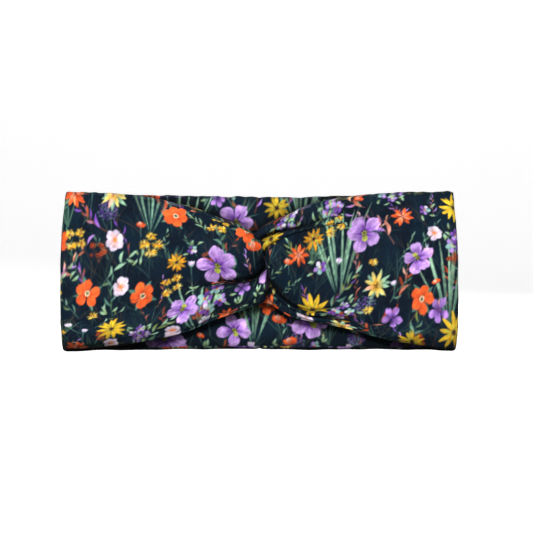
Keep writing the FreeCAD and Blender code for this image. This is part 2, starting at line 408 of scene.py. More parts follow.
    def pansy(self, x, y, radius):
        """Violet petals above, paler ones touched with green below, with small leaves round them."""
        for _ in range(3):
            angle = self.any_turn()
            reach = radius * self.random.uniform(1.0, 1.5)
            place = polar(x, y, reach, angle)
            self.leaf(*place, angle + self.random.uniform(-0.8, 0.8), 4.2, 1.5, "olive", "pale_green")
        turn = self.any_turn()
        for number in range(5):
            angle = turn + 2 * math.pi * number / 5
            base, tip = "deep_purple", "violet"
            if number not in (1, 2):
                base, tip = "mint", self.pick("lilac", "white", "mint", "lilac")
            length = radius * self.random.uniform(0.9, 1.1)
            self.petal(x, y, angle, length, radius * 0.68, base, tip, 0.15)
        for number in range(5):
            angle = turn + 2 * math.pi * (number + 0.2) / 5
            end = polar(x, y, radius * 0.5, angle)
            self.stroke([(x, y), end], [0.45, 0.2], self.pick("cream", "deep_purple"), 0.7)
        self.disc(x, y, radius * 0.14, self.pick("orange", "yellow"), 0.2)

    def bud(self, x, y, size, angle):
        """A pale lilac bud on a long curved stem, held by two green leaves."""
        sway = self.random.uniform(-0.5, 0.5)
        middle = polar(x, y, -size, angle)
        foot = polar(x, y, -2.2 * size, angle + sway)
        self.stroke([(x, y), middle, foot], [0.8, 0.6, 0.3], "grey_green")
        for spread in (-0.4, 0.4, 0.0):
            self.petal(x, y, angle + spread, size, size * 0.46, "lilac", "white", 0.5)
        for spread in (-0.7, 0.6):
            self.petal(x, y, angle + spread, size * 0.55, size * 0.24, "grey_green", "pale_green")

    def blades(self, x, y, count):
        """Long separate blades of grass that rise from one foot and part towards their tips."""
        for number in range(count):
            share = (number + 0.5) / count - 0.5
            foot_x = x + 3.0 * share + self.random.uniform(-1.0, 1.0)
            foot_y = y + self.random.uniform(0, 6)
            angle = math.pi / 2 - 0.85 * share + self.random.uniform(-0.05, 0.05)
            length = self.random.uniform(44, 60)
            width = self.random.uniform(1.0, 1.9)
            bow = -0.12 * share + self.random.uniform(-0.05, 0.05)
            tone = self.random.uniform(0.75, 1.05)
            tip = INK["pale_green"] * tone
            self.petal(foot_x, foot_y, angle, length, width, INK["grey_green"] * tone, tip, 0.9, bow)

    def side_flower(self, x, y, size):
        """A half-open orange flower seen from the side, on a thin stem."""
        lean = self.random.uniform(-0.5, 0.5)
        foot = (x + 1.6 * size * math.sin(lean), y - 1.6 * size * math.cos(lean))
        self.stroke([(x, y), foot], [0.6, 0.3], "grey_green", 0.85)
        for spread in (-0.85, 0.75, -0.3, 0.25):
            tip = "blush" if spread == 0.25 else "orange"
            self.petal(x, y, math.pi / 2 + spread - lean, size, size * 0.6, "deep_orange", tip, 0.3)

    def loose_leaves(self, x, y, spread):
        """A few small pale leaves with nothing between them."""
        for _ in range(5):
            place_x = x + self.random.uniform(-spread, spread)
            place_y = y + self.random.uniform(-spread, spread)
            turn = math.pi / 2 + self.random.uniform(-1.3, 1.3)
            self.leaf(place_x, place_y, turn, self.random.uniform(3.6, 5.6), 1.5, "olive", "pale_green")

    def florets(self, x, y, spread, count, colours):
        """Tiny five-petalled heads on thin dark stems."""
        for _ in range(count):
            place = (x + self.random.uniform(-spread, spread), y + self.random.uniform(-spread, spread) * 0.7)
            self.stroke([(x, y - 1.4 * spread), place], [0.2, 0.25], "brown", 0.8)
            base = self.pick(*colours)
            self.ring(*place, self.random.uniform(1.0, 1.6), 5, base * 0.8, base * 1.05, 0.6, 0.2)
            self.disc(*place, 0.25, "dark")

    def heather(self, x, y, spread, count):
        """A dim speckle of short violet strokes."""
        for _ in range(count):
            angle = self.any_turn()
            reach = spread * math.sqrt(self.random.uniform(0, 1))
            place = polar(x, y, reach, angle, 0.8)
            turn = self.any_turn()
            size = self.random.uniform(0.7, 1.8)
            end = polar(*place, size, turn)
            self.stroke([place, end], [0.3, 0.45, 0.2], self.pick("deep_purple", "violet", "mint"), 0.6)

    def leaf(self, x, y, angle, length, width, base="moss", tip="grey_green"):
        """A narrow curved leaf with a paler rib."""
        bow = self.random.uniform(-0.7, 0.7)
        self.petal(x, y, angle, length, width, base, tip, 0.95, bow)
        middle = (
            x + 0.45 * length * math.cos(angle) - 0.45 * bow * length * math.sin(angle),
            y + 0.45 * length * math.sin(angle) + 0.45 * bow * length * math.cos(angle),
        )
        end = polar(x, y, 0.95 * length, angle)
        self.stroke([(x, y), middle, end], [0.3, 0.12], np.minimum(INK[tip] * 1.25, 1), 0.55)

    def spray(self, x, y, angle, length, leaves, inks, leaf=6.0, slim=0.26):
        """A thin curved stem with narrow leaves on either side of it by turns."""
        sway = self.random.uniform(-0.5, 0.5)
        foot = np.array([x, y])
        middle = foot + 0.5 * length * np.array([math.cos(angle + sway), math.sin(angle + sway)])
        end = foot + length * np.array([math.cos(angle), math.sin(angle)])
        self.stroke([foot, middle, end], [0.45, 0.2], INK[inks[0]], 0.8)
        for number in range(leaves):
            share = 0.2 + 0.8 * number / leaves
            joint = foot * (1 - share) ** 2 + 2 * middle * share * (1 - share) + end * share**2
            way = 2 * (middle - foot) * (1 - share) + 2 * (end - middle) * share
            side = 1 if number % 2 else -1
            turn = math.atan2(way[1], way[0]) + side * self.random.uniform(0.25, 0.8)
            size = leaf * self.random.uniform(0.65, 1.15) * (1.1 - 0.35 * share)
            base, tip = inks[self.random.integers(len(inks))], inks[self.random.integers(len(inks))]
            self.leaf(joint[0], joint[1], turn, size, size * slim, base, tip)
        self.leaf(end[0], end[1], angle - 0.4 * sway, leaf * 0.8, leaf * slim * 0.8, inks[-1], inks[-1])

    def grass(self, x, y, angle, length, count, fan, base, tip, width):
        """Thin bent strokes that fan out from one foot."""
        for number in range(count):
            share = (number + 0.5) / count - 0.5
            turn = angle + fan * share + self.random.uniform(-0.1, 0.1)
            reach = length * self.random.uniform(0.6, 1.0)
            bow = self.random.uniform(-0.25, 0.25) + 0.35 * share
            middle = polar(x, y, 0.55 * reach, turn)
            end = polar(x, y, reach, turn + bow)
            mix = self.random.uniform(0, 1)
            colour = INK[base] * (1 - mix) + INK[tip] * mix
            self.stroke([(x, y), middle, end], [width * 0.5, width, 0.12], colour, 0.85)


SPRAYS = [
    ("pink_brown", "rust", "blush", "lilac"),
    ("brown", "rust", "pink_brown", "deep_orange"),
    ("grey_green", "olive", "pale_green"),
    ("grey_green", "moss", "grey_green"),
    ("rust", "lilac", "pink_brown", "violet"),
]

# Cloth beyond the strips' ends on the printed sheet, and the seeds of the two sheets.
SPARE_PRINT = 20.0
OUTER_SEED = 41
LINING_SEED = 29

# How thickly each kind of plant is sown: the area of cloth for one, and the least distance between two.
THIN_GRASS = (150, 6.0)
SHORT_SPRAYS = (420, 12.0)
BLADE_CLUMPS = (5200, 40.0)
GRASS_FANS = (2600, 26.0)
LONG_SPRAYS = (1500, 22.0)
SMALL_PATCHES = (4200, 34.0)
LARGE_FLOWERS = (950, 24.0)
MIDDLE_FLOWERS = (430, 13.0)
SMALL_FLOWERS = (300, 9.0)
AREA_PER_HAIR = 22
UPRIGHT = math.pi / 2

# What is sown, from the largest flowers to the smallest, each kind with its usual radius.
SOWINGS = [
    (
        LARGE_FLOWERS,
        [("purple", 12.0), ("daisy", 10.5), ("orange_star", 8.0), ("orange", 8.0), ("mixed_daisy", 9.0)],
    ),
    (
        MIDDLE_FLOWERS,
        [("pansies", 9.0), ("amber_daisy", 6.5), ("tufts", 8.0), ("violet", 6.0), ("orange_side", 6.0),
         ("bud", 6.0), ("pale", 5.5), ("pansies", 8.0)],
    ),
    (
        SMALL_FLOWERS,
        [("leaves", 4.5), ("pansy", 3.8), ("tuft", 3.4), ("orange_side", 3.6), ("leaves", 4.0), ("bud", 4.2)],
    ),
]
CLOSEST_FLOWERS = 0.85
HEADS_IN_GROUP = 4


def scatter(canvas, sowing, margin=-2.0):
    """Evenly spread random places on the canvas. A margin below 0 lets them lie past its edges."""
    area, gap = sowing
    count = int(canvas.area / area)
    width = canvas.columns / canvas.DOTS_PER_MM
    height = canvas.rows / canvas.DOTS_PER_MM
    places = []
    for _ in range(count * 30):
        x = canvas.low[0] + canvas.random.uniform(margin, width - margin)
        y = canvas.low[1] + canvas.random.uniform(margin, height - margin)
        if all((x - a) ** 2 + (y - b) ** 2 > gap * gap for a, b in places):
            places.append((x, y))
        if len(places) == count:
            break
    return places


def paint_undergrowth(canvas):
    """Dim thin grass on the dark ground, behind everything else."""
    shades = [("deep_green", "moss"), ("deep_green", "grey_green"), ("brown", "deep_green")]
    for x, y in scatter(canvas, THIN_GRASS, -6.0):
        lean = canvas.random.uniform(-0.8, 0.8)
        base, tip = shades[canvas.random.integers(len(shades))]
        length = canvas.random.uniform(12, 26)
        canvas.grass(x, y - length / 2, UPRIGHT + lean, length, 3, 0.6, base, tip, 0.4)
    for x, y in canvas.random.uniform(canvas.low, canvas.high, (int(canvas.area / AREA_PER_HAIR), 2)):
        angle = UPRIGHT + canvas.random.normal(0, 0.6)
        end = polar(x, y, canvas.random.uniform(4, 10), angle)
        canvas.stroke([(x, y), end], [0.2, 0.5, 0.15], canvas.pick("deep_green", "moss", "dark", "dark"), 0.4)


def paint_sprays(canvas):
    """Short leafy stems all over the cloth."""
    for x, y in scatter(canvas, SHORT_SPRAYS):
        inks = SPRAYS[canvas.random.integers(len(SPRAYS))]
        angle = UPRIGHT + canvas.random.uniform(-0.9, 0.9)
        length = canvas.random.uniform(10, 20)
        leaves = int(canvas.random.integers(3, 7))
        canvas.spray(x, y - length / 2, angle, length, leaves, inks, canvas.random.uniform(4.0, 6.4), 0.21)


def paint_meadow(canvas):
    """Clumps of grass, long sprays and patches of small florets."""
    random = canvas.random
    for x, y in scatter(canvas, BLADE_CLUMPS):
        canvas.blades(x, y - 20, int(random.integers(6, 11)))
    for x, y in scatter(canvas, GRASS_FANS):
        lean = UPRIGHT + random.uniform(-0.3, 0.3)
        canvas.grass(x, y - 10, lean, random.uniform(16, 30), 8, 1.2, "moss", "grey_green", 0.8)
    for x, y in scatter(canvas, LONG_SPRAYS):
        angle = UPRIGHT + random.uniform(-1.0, 1.0)
        inks = SPRAYS[random.integers(len(SPRAYS))]
        canvas.spray(x, y - 10, angle, random.uniform(20, 34), int(random.integers(4, 8)), inks, 8.0, 0.25)
    for x, y in scatter(canvas, SMALL_PATCHES):
        canvas.heather(x, y, random.uniform(5, 9), 200)
    for x, y in scatter(canvas, SMALL_PATCHES):
        canvas.florets(x, y, random.uniform(4, 7), 12, ("deep_orange", "rust"))


def has_room(flowers, x, y, radius):
    return all(math.hypot(x - a, y - b) > CLOSEST_FLOWERS * (radius + taken) for _, a, b, taken in flowers)


def sow_flowers(canvas):
    """Kind, place and radius of every flower, each where the larger ones leave it room."""
    flowers = []
    for sowing, kinds in SOWINGS:
        for x, y in scatter(canvas, sowing):
            kind, usual = kinds[canvas.random.integers(len(kinds))]
            radius = usual * canvas.random.uniform(0.82, 1.12)
            if has_room(flowers, x, y, radius):
                flowers.append((kind, x, y, radius))
    return flowers


def paint_group(canvas, head, x, y, radius):
    """A few small heads round one place."""
    turn = canvas.any_turn()
    for number in range(HEADS_IN_GROUP):
        angle = turn + 2 * math.pi * number / HEADS_IN_GROUP
        reach = radius * canvas.random.uniform(0.5, 0.75)
        size = radius * canvas.random.uniform(0.4, 0.56)
        head(*polar(x, y, reach, angle), size)


def paint_flower(canvas, kind, x, y, radius):
    painters = {
        "purple": canvas.purple_flower,
        "daisy": canvas.daisy,
        "mixed_daisy": canvas.mixed_daisy,
        "orange": canvas.orange_flower,
        "orange_star": canvas.orange_star,
        "orange_side": canvas.side_flower,
        "pansy": canvas.pansy,
        "tuft": canvas.tuft,
        "leaves": canvas.loose_leaves,
    }
    if kind in painters:
        painters[kind](x, y, radius)
    elif kind == "amber_daisy":
        canvas.daisy(x, y, radius, "amber", "rust")
    elif kind == "bud":
        canvas.bud(x, y - radius / 2, radius, UPRIGHT + canvas.random.uniform(-0.4, 0.4))
    elif kind == "violet":
        canvas.ring(x, y, radius, 5, "deep_purple", "lilac", 0.6, 0.2)
    elif kind == "pale":
        canvas.ring(x, y, radius, 6, "blush", "white", 0.8, 0.0)
        canvas.disc(x, y, radius * 0.22, "light_orange", 0.5)
    elif kind == "pansies":
        paint_group(canvas, canvas.pansy, x, y, radius)
    elif kind == "tufts":
        paint_group(canvas, canvas.tuft, x, y, radius)


def paint_print(seed):
    """A sheet of print for one ply of both strips, with the smaller flowers behind the larger ones."""
    reach = 2 * HALF_LENGTH + KNOT_RESERVE + SPARE_PRINT
    canvas = Canvas((-reach, 0), (reach, CLOTH_WIDTH), seed)
    paint_undergrowth(canvas)
    paint_sprays(canvas)
    paint_meadow(canvas)
    for flower in sorted(sow_flowers(canvas), key=lambda item: item[3]):
        paint_flower(canvas, *flower)
    x, y = canvas.coordinates(0, canvas.columns, 0, canvas.rows)
    grain = 1 + 0.06 * layered(canvas.noise, x / 0.7, y / 0.7, 2)
    canvas.colour = np.clip(canvas.colour * grain[..., None], 0, 1)
    canvas.bleed(1)
    return canvas


def linear_colour(colour):
    colour = np.clip(colour, 0, 1)
    return np.where(colour <= 0.04045, colour / 12.92, ((colour + 0.055) / 1.055) ** 2.4)


def printed_colour(canvas, along, across):
    """The print's colour at places of the cloth, blended between the canvas's dots."""
    column = (along - canvas.low[0]) * canvas.DOTS_PER_MM - 0.5
    row = (across - canvas.low[1]) * canvas.DOTS_PER_MM - 0.5
    column = np.clip(column, 0, canvas.columns - 1.001)
    row = np.clip(row, 0, canvas.rows - 1.001)
    left = column.astype(int)
    bottom = row.astype(int)
    share_x = (column - left)[..., None]
    share_y = (row - bottom)[..., None]
    low = canvas.colour[bottom, left] * (1 - share_x) + canvas.colour[bottom, left + 1] * share_x
    high = canvas.colour[bottom + 1, left] * (1 - share_x) + canvas.colour[bottom + 1, left + 1] * share_x
    return low * (1 - share_y) + high * share_y


# ---------------------------------------------------------------- cloth surfaces

# A cloth surface is a grid of columns along the loop and of rows once round the flattened tube: up the
# outer ply, over the top edge, down the lining ply and round the bottom fold.

EDGE_ROWS = 7
LINING_ROWS = 170
WING_COLUMNS = 240
FOLD_COLUMNS = 34
BACK_COLUMNS = 224
BACK_OVERLAP = 14
WRINKLE = Noise(5)
PUCKER = Noise(8)

# How far a rounded edge may stand out, and how near to the cloth's edge the print is taken for it.
EDGE_BULGE = 1.4
OUTER_MARGIN = 0.4
LINING_MARGIN = 0.5

# How far the side folds lean inwards at the corners, the heights where that starts, and from which x on.
TOP_LEAN = 3.0
BOTTOM_LEAN = 1.6
TOP_LEAN_START = 6.0
BOTTOM_LEAN_START = 24.0
LEAN_START_X = 88.0

# Length along the band, length across it and depth of the wrinkles.
WIDE_WRINKLES = (26.0, 30.0, 0.26)
NARROW_WRINKLES = (7.0, 22.0, 0.10)

# Length along the band, depth, and how far in from the edge it reaches.
TOP_PUCKERS = (3.1, 0.34, 3.2)
BOTTOM_ROLL = (9.0, 0.16, 3.0)
TOP_WAVES = (4.3, 0.28, 5.0)
BOTTOM_WAVES = (11.0, 0.16, 5.0)


class Cloth:
    """A grid of points. Along and across tell the place of each on the printed sheet, from_back is how far
    it lies from the middle of the back, lining is 1 on the lining ply, and outer_rows counts the rows of
    the outer ply."""

    def __init__(self, points, along, across, lining, outer_rows):
        self.points = points
        self.along = along
        self.across = across
        self.lining = lining
        self.outer_rows = outer_rows
        self.from_back = along[-1:] - along


def edge_rows(start, end, outward, bulge):
    """Rows of a rounded edge between two columns of points, without the rows at start and end."""
    rows = []
    for number in range(1, EDGE_ROWS + 1):
        angle = math.pi * number / (EDGE_ROWS + 1)
        middle = (start + end) / 2
        rows.append(middle + (start - middle) * math.cos(angle) + outward * bulge * math.sin(angle))
    return np.stack(rows, axis=1)


def close_tube(outer, lining, along, outer_across, lining_along):
    """Joins an outer grid (rows upwards) and a lining grid (rows downwards) into one tube."""
    up = np.array([0.0, 0.0, 1.0])
    thickness = np.linalg.norm(outer[:, -1] - lining[:, 0], axis=1)[:, None]
    bulge = np.minimum(thickness * 0.5, EDGE_BULGE)
    top = edge_rows(outer[:, -1], lining[:, 0], up, bulge)
    thickness = np.linalg.norm(outer[:, 0] - lining[:, -1], axis=1)[:, None]
    bulge = np.minimum(thickness * 0.5, EDGE_BULGE)
    bottom = edge_rows(lining[:, -1], outer[:, 0], -up, bulge)
    points = np.concatenate([outer, top, lining, bottom], axis=1)
    columns = points.shape[0]
    lining_rows = lining.shape[1]
    edge = np.ones((columns, EDGE_ROWS))
    lining_across = np.linspace(CLOTH_WIDTH - LINING_MARGIN, LINING_MARGIN, lining_rows)
    lining_across = np.tile(lining_across, (columns, 1))
    half_edge = (EDGE_ROWS + 1) // 2
    top_across, bottom_across = edge * (CLOTH_WIDTH - OUTER_MARGIN), edge * OUTER_MARGIN
    across = np.concatenate([outer_across, top_across, lining_across, bottom_across], axis=1)
    top_along = np.tile(along[:, -1:], (1, EDGE_ROWS))
    bottom_along = np.tile(along[:, :1], (1, EDGE_ROWS))
    all_along = np.concatenate([along, top_along, lining_along, bottom_along], axis=1)
    is_lining = np.zeros(points.shape[:2])
    first = outer.shape[1] + half_edge
    is_lining[:, first : first + lining_rows + 1] = 1.0
    return Cloth(points, all_along, across, is_lining, outer.shape[1])


def taper_ends(points):
    """The side folds lean inwards a little towards the top and bottom corners."""
    x, z = points[..., 0], points[..., 2]
    side = np.sign(x)
    top = TOP_LEAN * np.clip((z - TOP_LEAN_START) / (HALF_WIDTH - TOP_LEAN_START), 0, 1) ** 1.6
    bottom = (-z - BOTTOM_LEAN_START) / (HALF_WIDTH - BOTTOM_LEAN_START)
    bottom = BOTTOM_LEAN * np.clip(bottom, 0, 1) ** 2
    near_end = smooth_step(LEAN_START_X, HALF_LENGTH, np.abs(x))
    result = points.copy()
    result[..., 0] = x - side * (top + bottom) * near_end
    return result


def along_edge(kind, along, row, from_edge):
    """Unevenness along one edge of the band, which fades away from that edge."""
    length, depth, reach = kind
    return depth * PUCKER(along / length, row) * np.exp(-from_edge / reach)


def soften(cloth):
    """Small wrinkles all over, puckers along the seamed top edge and a roll along the bottom fold, pushed
    along the surface normal, and waves in the height of both edges."""
    normal = outward_normals(cloth.points)
    along, from_bottom = cloth.from_back, cloth.across
    from_top = CLOTH_WIDTH - from_bottom
    shift = 31.0 * cloth.lining
    length, width, depth = WIDE_WRINKLES
    push = depth * layered(WRINKLE, along / length + shift, from_bottom / width, 2)
    length, width, depth = NARROW_WRINKLES
    push = push + depth * WRINKLE(along / length + 11.0 + shift, from_bottom / width)
    push = push + along_edge(TOP_PUCKERS, along, 0.35 + shift, from_top)
    push = push + along_edge(BOTTOM_ROLL, along, 4.0 + shift, from_bottom)
    points = cloth.points + normal * push[..., None]
    points[..., 2] += along_edge(TOP_WAVES, along, 9.0, from_top)
    points[..., 2] += along_edge(BOTTOM_WAVES, along, 15.0, from_bottom)
    cloth.points = points
    cloth.normals = outward_normals(points)


def outward_normals(points):
    """Unit normals of a grid that is closed round its rows. The top edge, which looks up, says which way
    is out."""
    along = np.gradient(points, axis=0)
    around = (np.roll(points, -1, axis=1) - np.roll(points, 1, axis=1)) / 2
    normal = np.cross(along, around)
    length = np.linalg.norm(normal, axis=2, keepdims=True)
    normal = normal / np.maximum(length, 1e-9)
    highest = np.argmax(points[-1, :, 2])
    return normal * np.sign(normal[-1, highest, 2])


# The gathered front of each strip is drawn by guides: seam-like lines that run from the knot to the wing's
# end. Each guide has its share of the cloth's width (0 at the bottom fold, 1 at the top seam), how full the
# fold above it stands, and points (x, y, z) from the knot outwards. Between two guides the cloth stands up
# in a rounded fold.

RIGHT_GUIDES = [
    (0.00, 1.0, [(2, -4.4, -14), (5.2, -4.8, -16.3), (10.7, -5.0, -20.8), (18.5, -5.0, -25.4),
                 (27.6, -4.9, -28.4), (34.8, -4.8, -29.8), (49.9, -4.7, -32.9), (74, -4.7, -39.5),
                 (108, -4.7, -45.4)]),
    (0.15, 1.0, [(4, -4.2, -9), (8, -5.4, -13.5), (14, -6.0, -19), (24, -5.4, -24.5), (33, -5.0, -26.6),
                 (43.2, -4.8, -27.8), (65.5, -4.7, -30.8), (88, -4.7, -31.6), (108, -4.7, -30.4)]),
    (0.31, 0.9, [(6.4, -3.9, -5), (8.2, -4.2, -8.4), (11.4, -4.3, -12.4), (16.4, -4.3, -17.2),
                 (22.6, -4.4, -21.4), (30, -4.4, -23.6), (39, -4.5, -22.8), (51, -4.6, -20.0),
                 (70, -4.7, -15.8), (90, -4.7, -11.8), (108, -4.7, -9.6)]),
    (0.80, 1.0, [(1.4, -4.2, 7.4), (3.2, -6.0, 10), (5.4, -8.6, 14.6), (10.4, -9.8, 18.2), (18, -9.2, 21.6),
                 (30, -7.0, 25.0), (48, -5.2, 29.0), (72, -4.7, 32.0), (108, -4.7, 32.0)]),
    (0.90, 1.0, [(-3.0, -4.2, 8.0), (-3.0, -4.9, 11.6), (-1.4, -5.4, 15.6), (2.0, -5.6, 19.7),
                 (6.5, -5.7, 22.0), (11.8, -5.7, 23.6), (17, -5.6, 25.0), (24.6, -5.4, 26.2),
                 (33, -5.1, 28.8), (46, -4.8, 34.0), (74, -4.7, 39.4), (108, -4.7, 40.0)]),
    (1.00, 1.0, [(-5.4, -4.6, 9.0), (-6.0, -5.4, 14.0), (-4.6, -6.0, 19.8), (-1.2, -6.4, 24.0),
                 (3.6, -6.6, 27.2), (10, -6.4, 29.6), (15.4, -6.0, 32.0), (20.4, -5.6, 35.0),
                 (27.4, -5.2, 38.2), (37, -4.9, 41.0), (50, -4.8, 43.4), (76, -4.7, 46.0),
                 (108, -4.7, 47.0)]),
]

LEFT_GUIDES = [
    (0.00, 0.95, [(5.0, -4.6, -15.6), (3.2, -5.4, -17.4), (-1.4, -5.8, -18.9), (-6.5, -5.8, -20.3),
                  (-14.7, -5.4, -23.0), (-26.7, -5.0, -27.4), (-38.6, -4.8, -33.2), (-48, -4.7, -36.3),
                  (-75.6, -4.7, -41.9), (-108, -4.7, -45.6)]),
    (0.34, 0.62, [(7.0, -3.9, 6.8), (5.2, -4.1, 4.4), (2.0, -4.3, 0.8), (-1.4, -4.5, -2.6),
                  (-6.0, -4.9, -5.2), (-12, -5.8, -6.4), (-20, -6.8, -6.9), (-33, -7.2, -9.4),
                  (-52, -6.0, -15.2), (-70, -5.2, -20.4), (-90, -4.8, -25.2), (-108, -4.7, -28.0)]),
    (1.00, 1.0, [(4.0, -4.2, 18.6), (0.6, -4.3, 20.2), (-3.4, -4.5, 22.4), (-6.4, -4.7, 24.0),
                 (-11.6, -4.8, 26.6), (-17.6, -4.9, 29.0), (-23.7, -4.9, 31.4), (-29.7, -4.8, 33.6),
                 (-39.5, -4.8, 37.2), (-56, -4.7, 41.2), (-80, -4.7, 45.2), (-108, -4.7, 47.0)]),
]

RIGHT_LINING_EDGES = (
    [(0.2, 23.5), (4, 26.6), (10, 29.2), (15.4, 31.6), (20.4, 34.6), (27.4, 37.8), (37, 40.8), (50, 43.2),
     (76, 46), (108, 47)],
    [(0.2, -18), (8, -19), (18.5, -25.4), (34.8, -29.8), (49.9, -32.9), (74, -39.5), (108, -45.4)],
)
LEFT_LINING_EDGES = (
    [(-0.2, 20), (-6.4, 23.6), (-11.6, 26.2), (-17.6, 28.6), (-23.7, 31.0), (-29.7, 33.2), (-39.5, 37),
     (-56, 41), (-80, 45), (-108, 47)],
    [(-0.2, -19.4), (-6.5, -20.4), (-14.7, -23.2), (-26.7, -27.6), (-48, -36.5), (-75.6, -41.9),
     (-108, -45.6)],
)

# How flat-topped the folds are, how much flatter their profile gets away from the knot, and where.
FOLD_FLATNESS = 0.6
SOFTENING = {RIGHT: 0.15, LEFT: 0.6}
SOFTENING_ZONE = (10.0, 36.0)

# How much of its spare cloth a fold shows as height, far from the knot and in addition near it, and the
# greatest height as a share of the fold's width.
BAND_LOOSENESS = 0.26
KNOT_LOOSENESS = 0.62
LOOSENESS_ZONE = (60.0, 12.0)
TALLEST_FOLD = 0.46
SOFT_START = 2.5
FLATTEN_LENGTH = 34.0

# The share of a fold in which spare cloth is tucked away, and how far from the middle that goes on.
TUCK = 0.035
TUCK_REACH = {RIGHT: 66.0, LEFT: 48.0}

# Rows crowd towards the guides, and columns towards the knot. The folds rise over the first millimetres.
ROW_CROWDING = 0.45
COLUMN_CROWDING = 0.18
RISE_START = 0.15
RISE_LENGTH = 4.5

# How deep the two strips dip into the centre-back seam, and how wide the dip is.
SEAM_DIP = 0.9
SEAM_DIP_WIDTH = 1.3


def fold_between(low_guide, high_guide, low_share, high_share, fullness, reach, softening):
    """Rows of the rounded fold between two guides, and the place of each point across the cloth. Up to reach
    from the middle, the cloth that is too much for the fold is tucked out of sight in the creases."""
    chord = high_guide - low_guide
    width = np.linalg.norm(chord, axis=1)[:, None]
    cloth = (high_share - low_share) * CLOTH_WIDTH
    rows = max(int(cloth / CELL), 6)
    share = np.linspace(0, 1, rows + 1)[None, :]
    share = share - ROW_CROWDING * np.sin(2 * np.pi * share) / (2 * np.pi)
    spare = SOFT_START * np.log1p(np.exp((cloth - width) / SOFT_START))
    distance = np.abs(low_guide[:, :1] + high_guide[:, :1]) / 2
    looseness = BAND_LOOSENESS + KNOT_LOOSENESS * smooth_step(*LOOSENESS_ZONE, distance)
    height = np.sqrt(3 * width * spare / 8) * looseness
    ceiling = TALLEST_FOLD * width
    height = height / (1 + (height / ceiling) ** 4) ** 0.25 * fullness
    height = height * smooth_step(WING_END_X, WING_END_X - FLATTEN_LENGTH, distance)
    flatness = FOLD_FLATNESS + softening * smooth_step(*SOFTENING_ZONE, distance)
    profile = np.sin(np.pi * share) ** flatness
    points = low_guide[:, None, :] + chord[:, None, :] * share[..., None]
    points[..., 1] -= height * profile
    steps = np.linalg.norm(np.diff(points, axis=1), axis=2)
    reached = np.concatenate([np.zeros((len(steps), 1)), np.cumsum(steps, axis=1)], axis=1)
    length = reached[:, -1:]
    hidden = np.maximum(cloth - length, 0.0) * smooth_step(reach, 0.4 * reach, distance)
    shown = (cloth - hidden) * reached / length
    valley = 0.5 * smooth_step(0.0, TUCK, share) + 0.5 * smooth_step(1 - TUCK, 1.0, share)
    across = low_share * CLOTH_WIDTH + shown + hidden * valley
    return points, across


def gathered_front(side):
    """The front of one strip, from inside the knot to the start of the side fold: the outer ply's points,
    their places along and across the cloth, and the lining's points."""
    guides = RIGHT_GUIDES if side == RIGHT else LEFT_GUIDES
    columns = np.linspace(0, 1, WING_COLUMNS + 1)
    columns = columns - COLUMN_CROWDING * np.sin(np.pi * columns) * (1 - columns)
    tracks = [curve_through(points, columns) for _, _, points in guides]
    start = np.linalg.norm(np.diff(tracks[len(tracks) // 2], axis=0), axis=1)
    start = np.concatenate([[0.0], np.cumsum(start)])[:, None]
    ramp = RISE_START + (1 - RISE_START) * smooth_step(0.0, RISE_LENGTH, start)
    outer, across = [], []
    for number in range(len(guides) - 1):
        low_share, fullness, _ = guides[number]
        high_share = guides[number + 1][0]
        rows, places = fold_between(
            tracks[number],
            tracks[number + 1],
            low_share,
            high_share,
            ramp * fullness,
            TUCK_REACH[side],
            SOFTENING[side],
        )
        first = 0 if number == 0 else 1
        outer.append(rows[:, first:])
        across.append(places[:, first:])
    outer = round_valleys(np.concatenate(outer, axis=1))
    across = np.concatenate(across, axis=1)
    steps = np.linalg.norm(np.diff(outer, axis=0), axis=2)
    from_end = np.cumsum(steps[::-1], axis=0)[::-1]
    from_end = np.concatenate([from_end, np.zeros((1, outer.shape[1]))], axis=0)
    lining = front_lining(side, columns)
    return outer, side * (WING_END_X + KNOT_RESERVE - from_end), across, lining


def round_valleys(points, passes=2):
    """Takes the sharpness off creases by averaging each row with its neighbours."""
    for _ in range(passes):
        inner = (points[:, :-2] + 2 * points[:, 1:-1] + points[:, 2:]) / 4
        points = points.copy()
        points[:, 1:-1] = inner
    return points


def front_lining(side, columns):
    """The lining of the gathered front: nearly flat, against the slit."""
    top, bottom = RIGHT_LINING_EDGES if side == RIGHT else LEFT_LINING_EDGES
    top = curve_through([(x, -INNER_Y, z) for x, z in top], columns)
    bottom = curve_through([(x, -INNER_Y, z) for x, z in bottom], columns)
    share = np.linspace(0, 1, LINING_ROWS + 1)[None, :, None]
    return top[:, None, :] * (1 - share) + bottom[:, None, :] * share


def back_top(x):
    """The height of the back's top edge, which dips towards the middle as the CAD's does."""
    return HALF_WIDTH - TOP_WAIST * (1 - (np.abs(x) / FOLD_X) ** 2)


def back_bottom(x):
    """The height of the back's bottom edge."""
    return -HALF_WIDTH + BOTTOM_WAIST * (1 - (np.abs(x) / FOLD_X) ** 2)


def band_path(radius):
    """(x, y) of one face of the cloth for the right side, from the wing's end round the side fold to the
    centre-back seam, where the two strips dip into their seam."""
    straight = np.arange(WING_END_X + CELL, FOLD_X, CELL)
    angles = np.linspace(-math.pi / 2, math.pi / 2, FOLD_COLUMNS)
    back = np.linspace(FOLD_X, 0.0, BACK_COLUMNS)[1:]
    dip = SEAM_DIP * np.exp(-((back / SEAM_DIP_WIDTH) ** 2)) if radius == OUTER_Y else 0.0 * back
    front = np.stack([straight, np.full(len(straight), -radius)], axis=1)
    turn = np.stack([FOLD_X + radius * np.cos(angles), radius * np.sin(angles)], axis=1)
    rear = np.stack([back, radius - dip], axis=1)
    return np.concatenate([front, turn, rear]), len(straight) + FOLD_COLUMNS


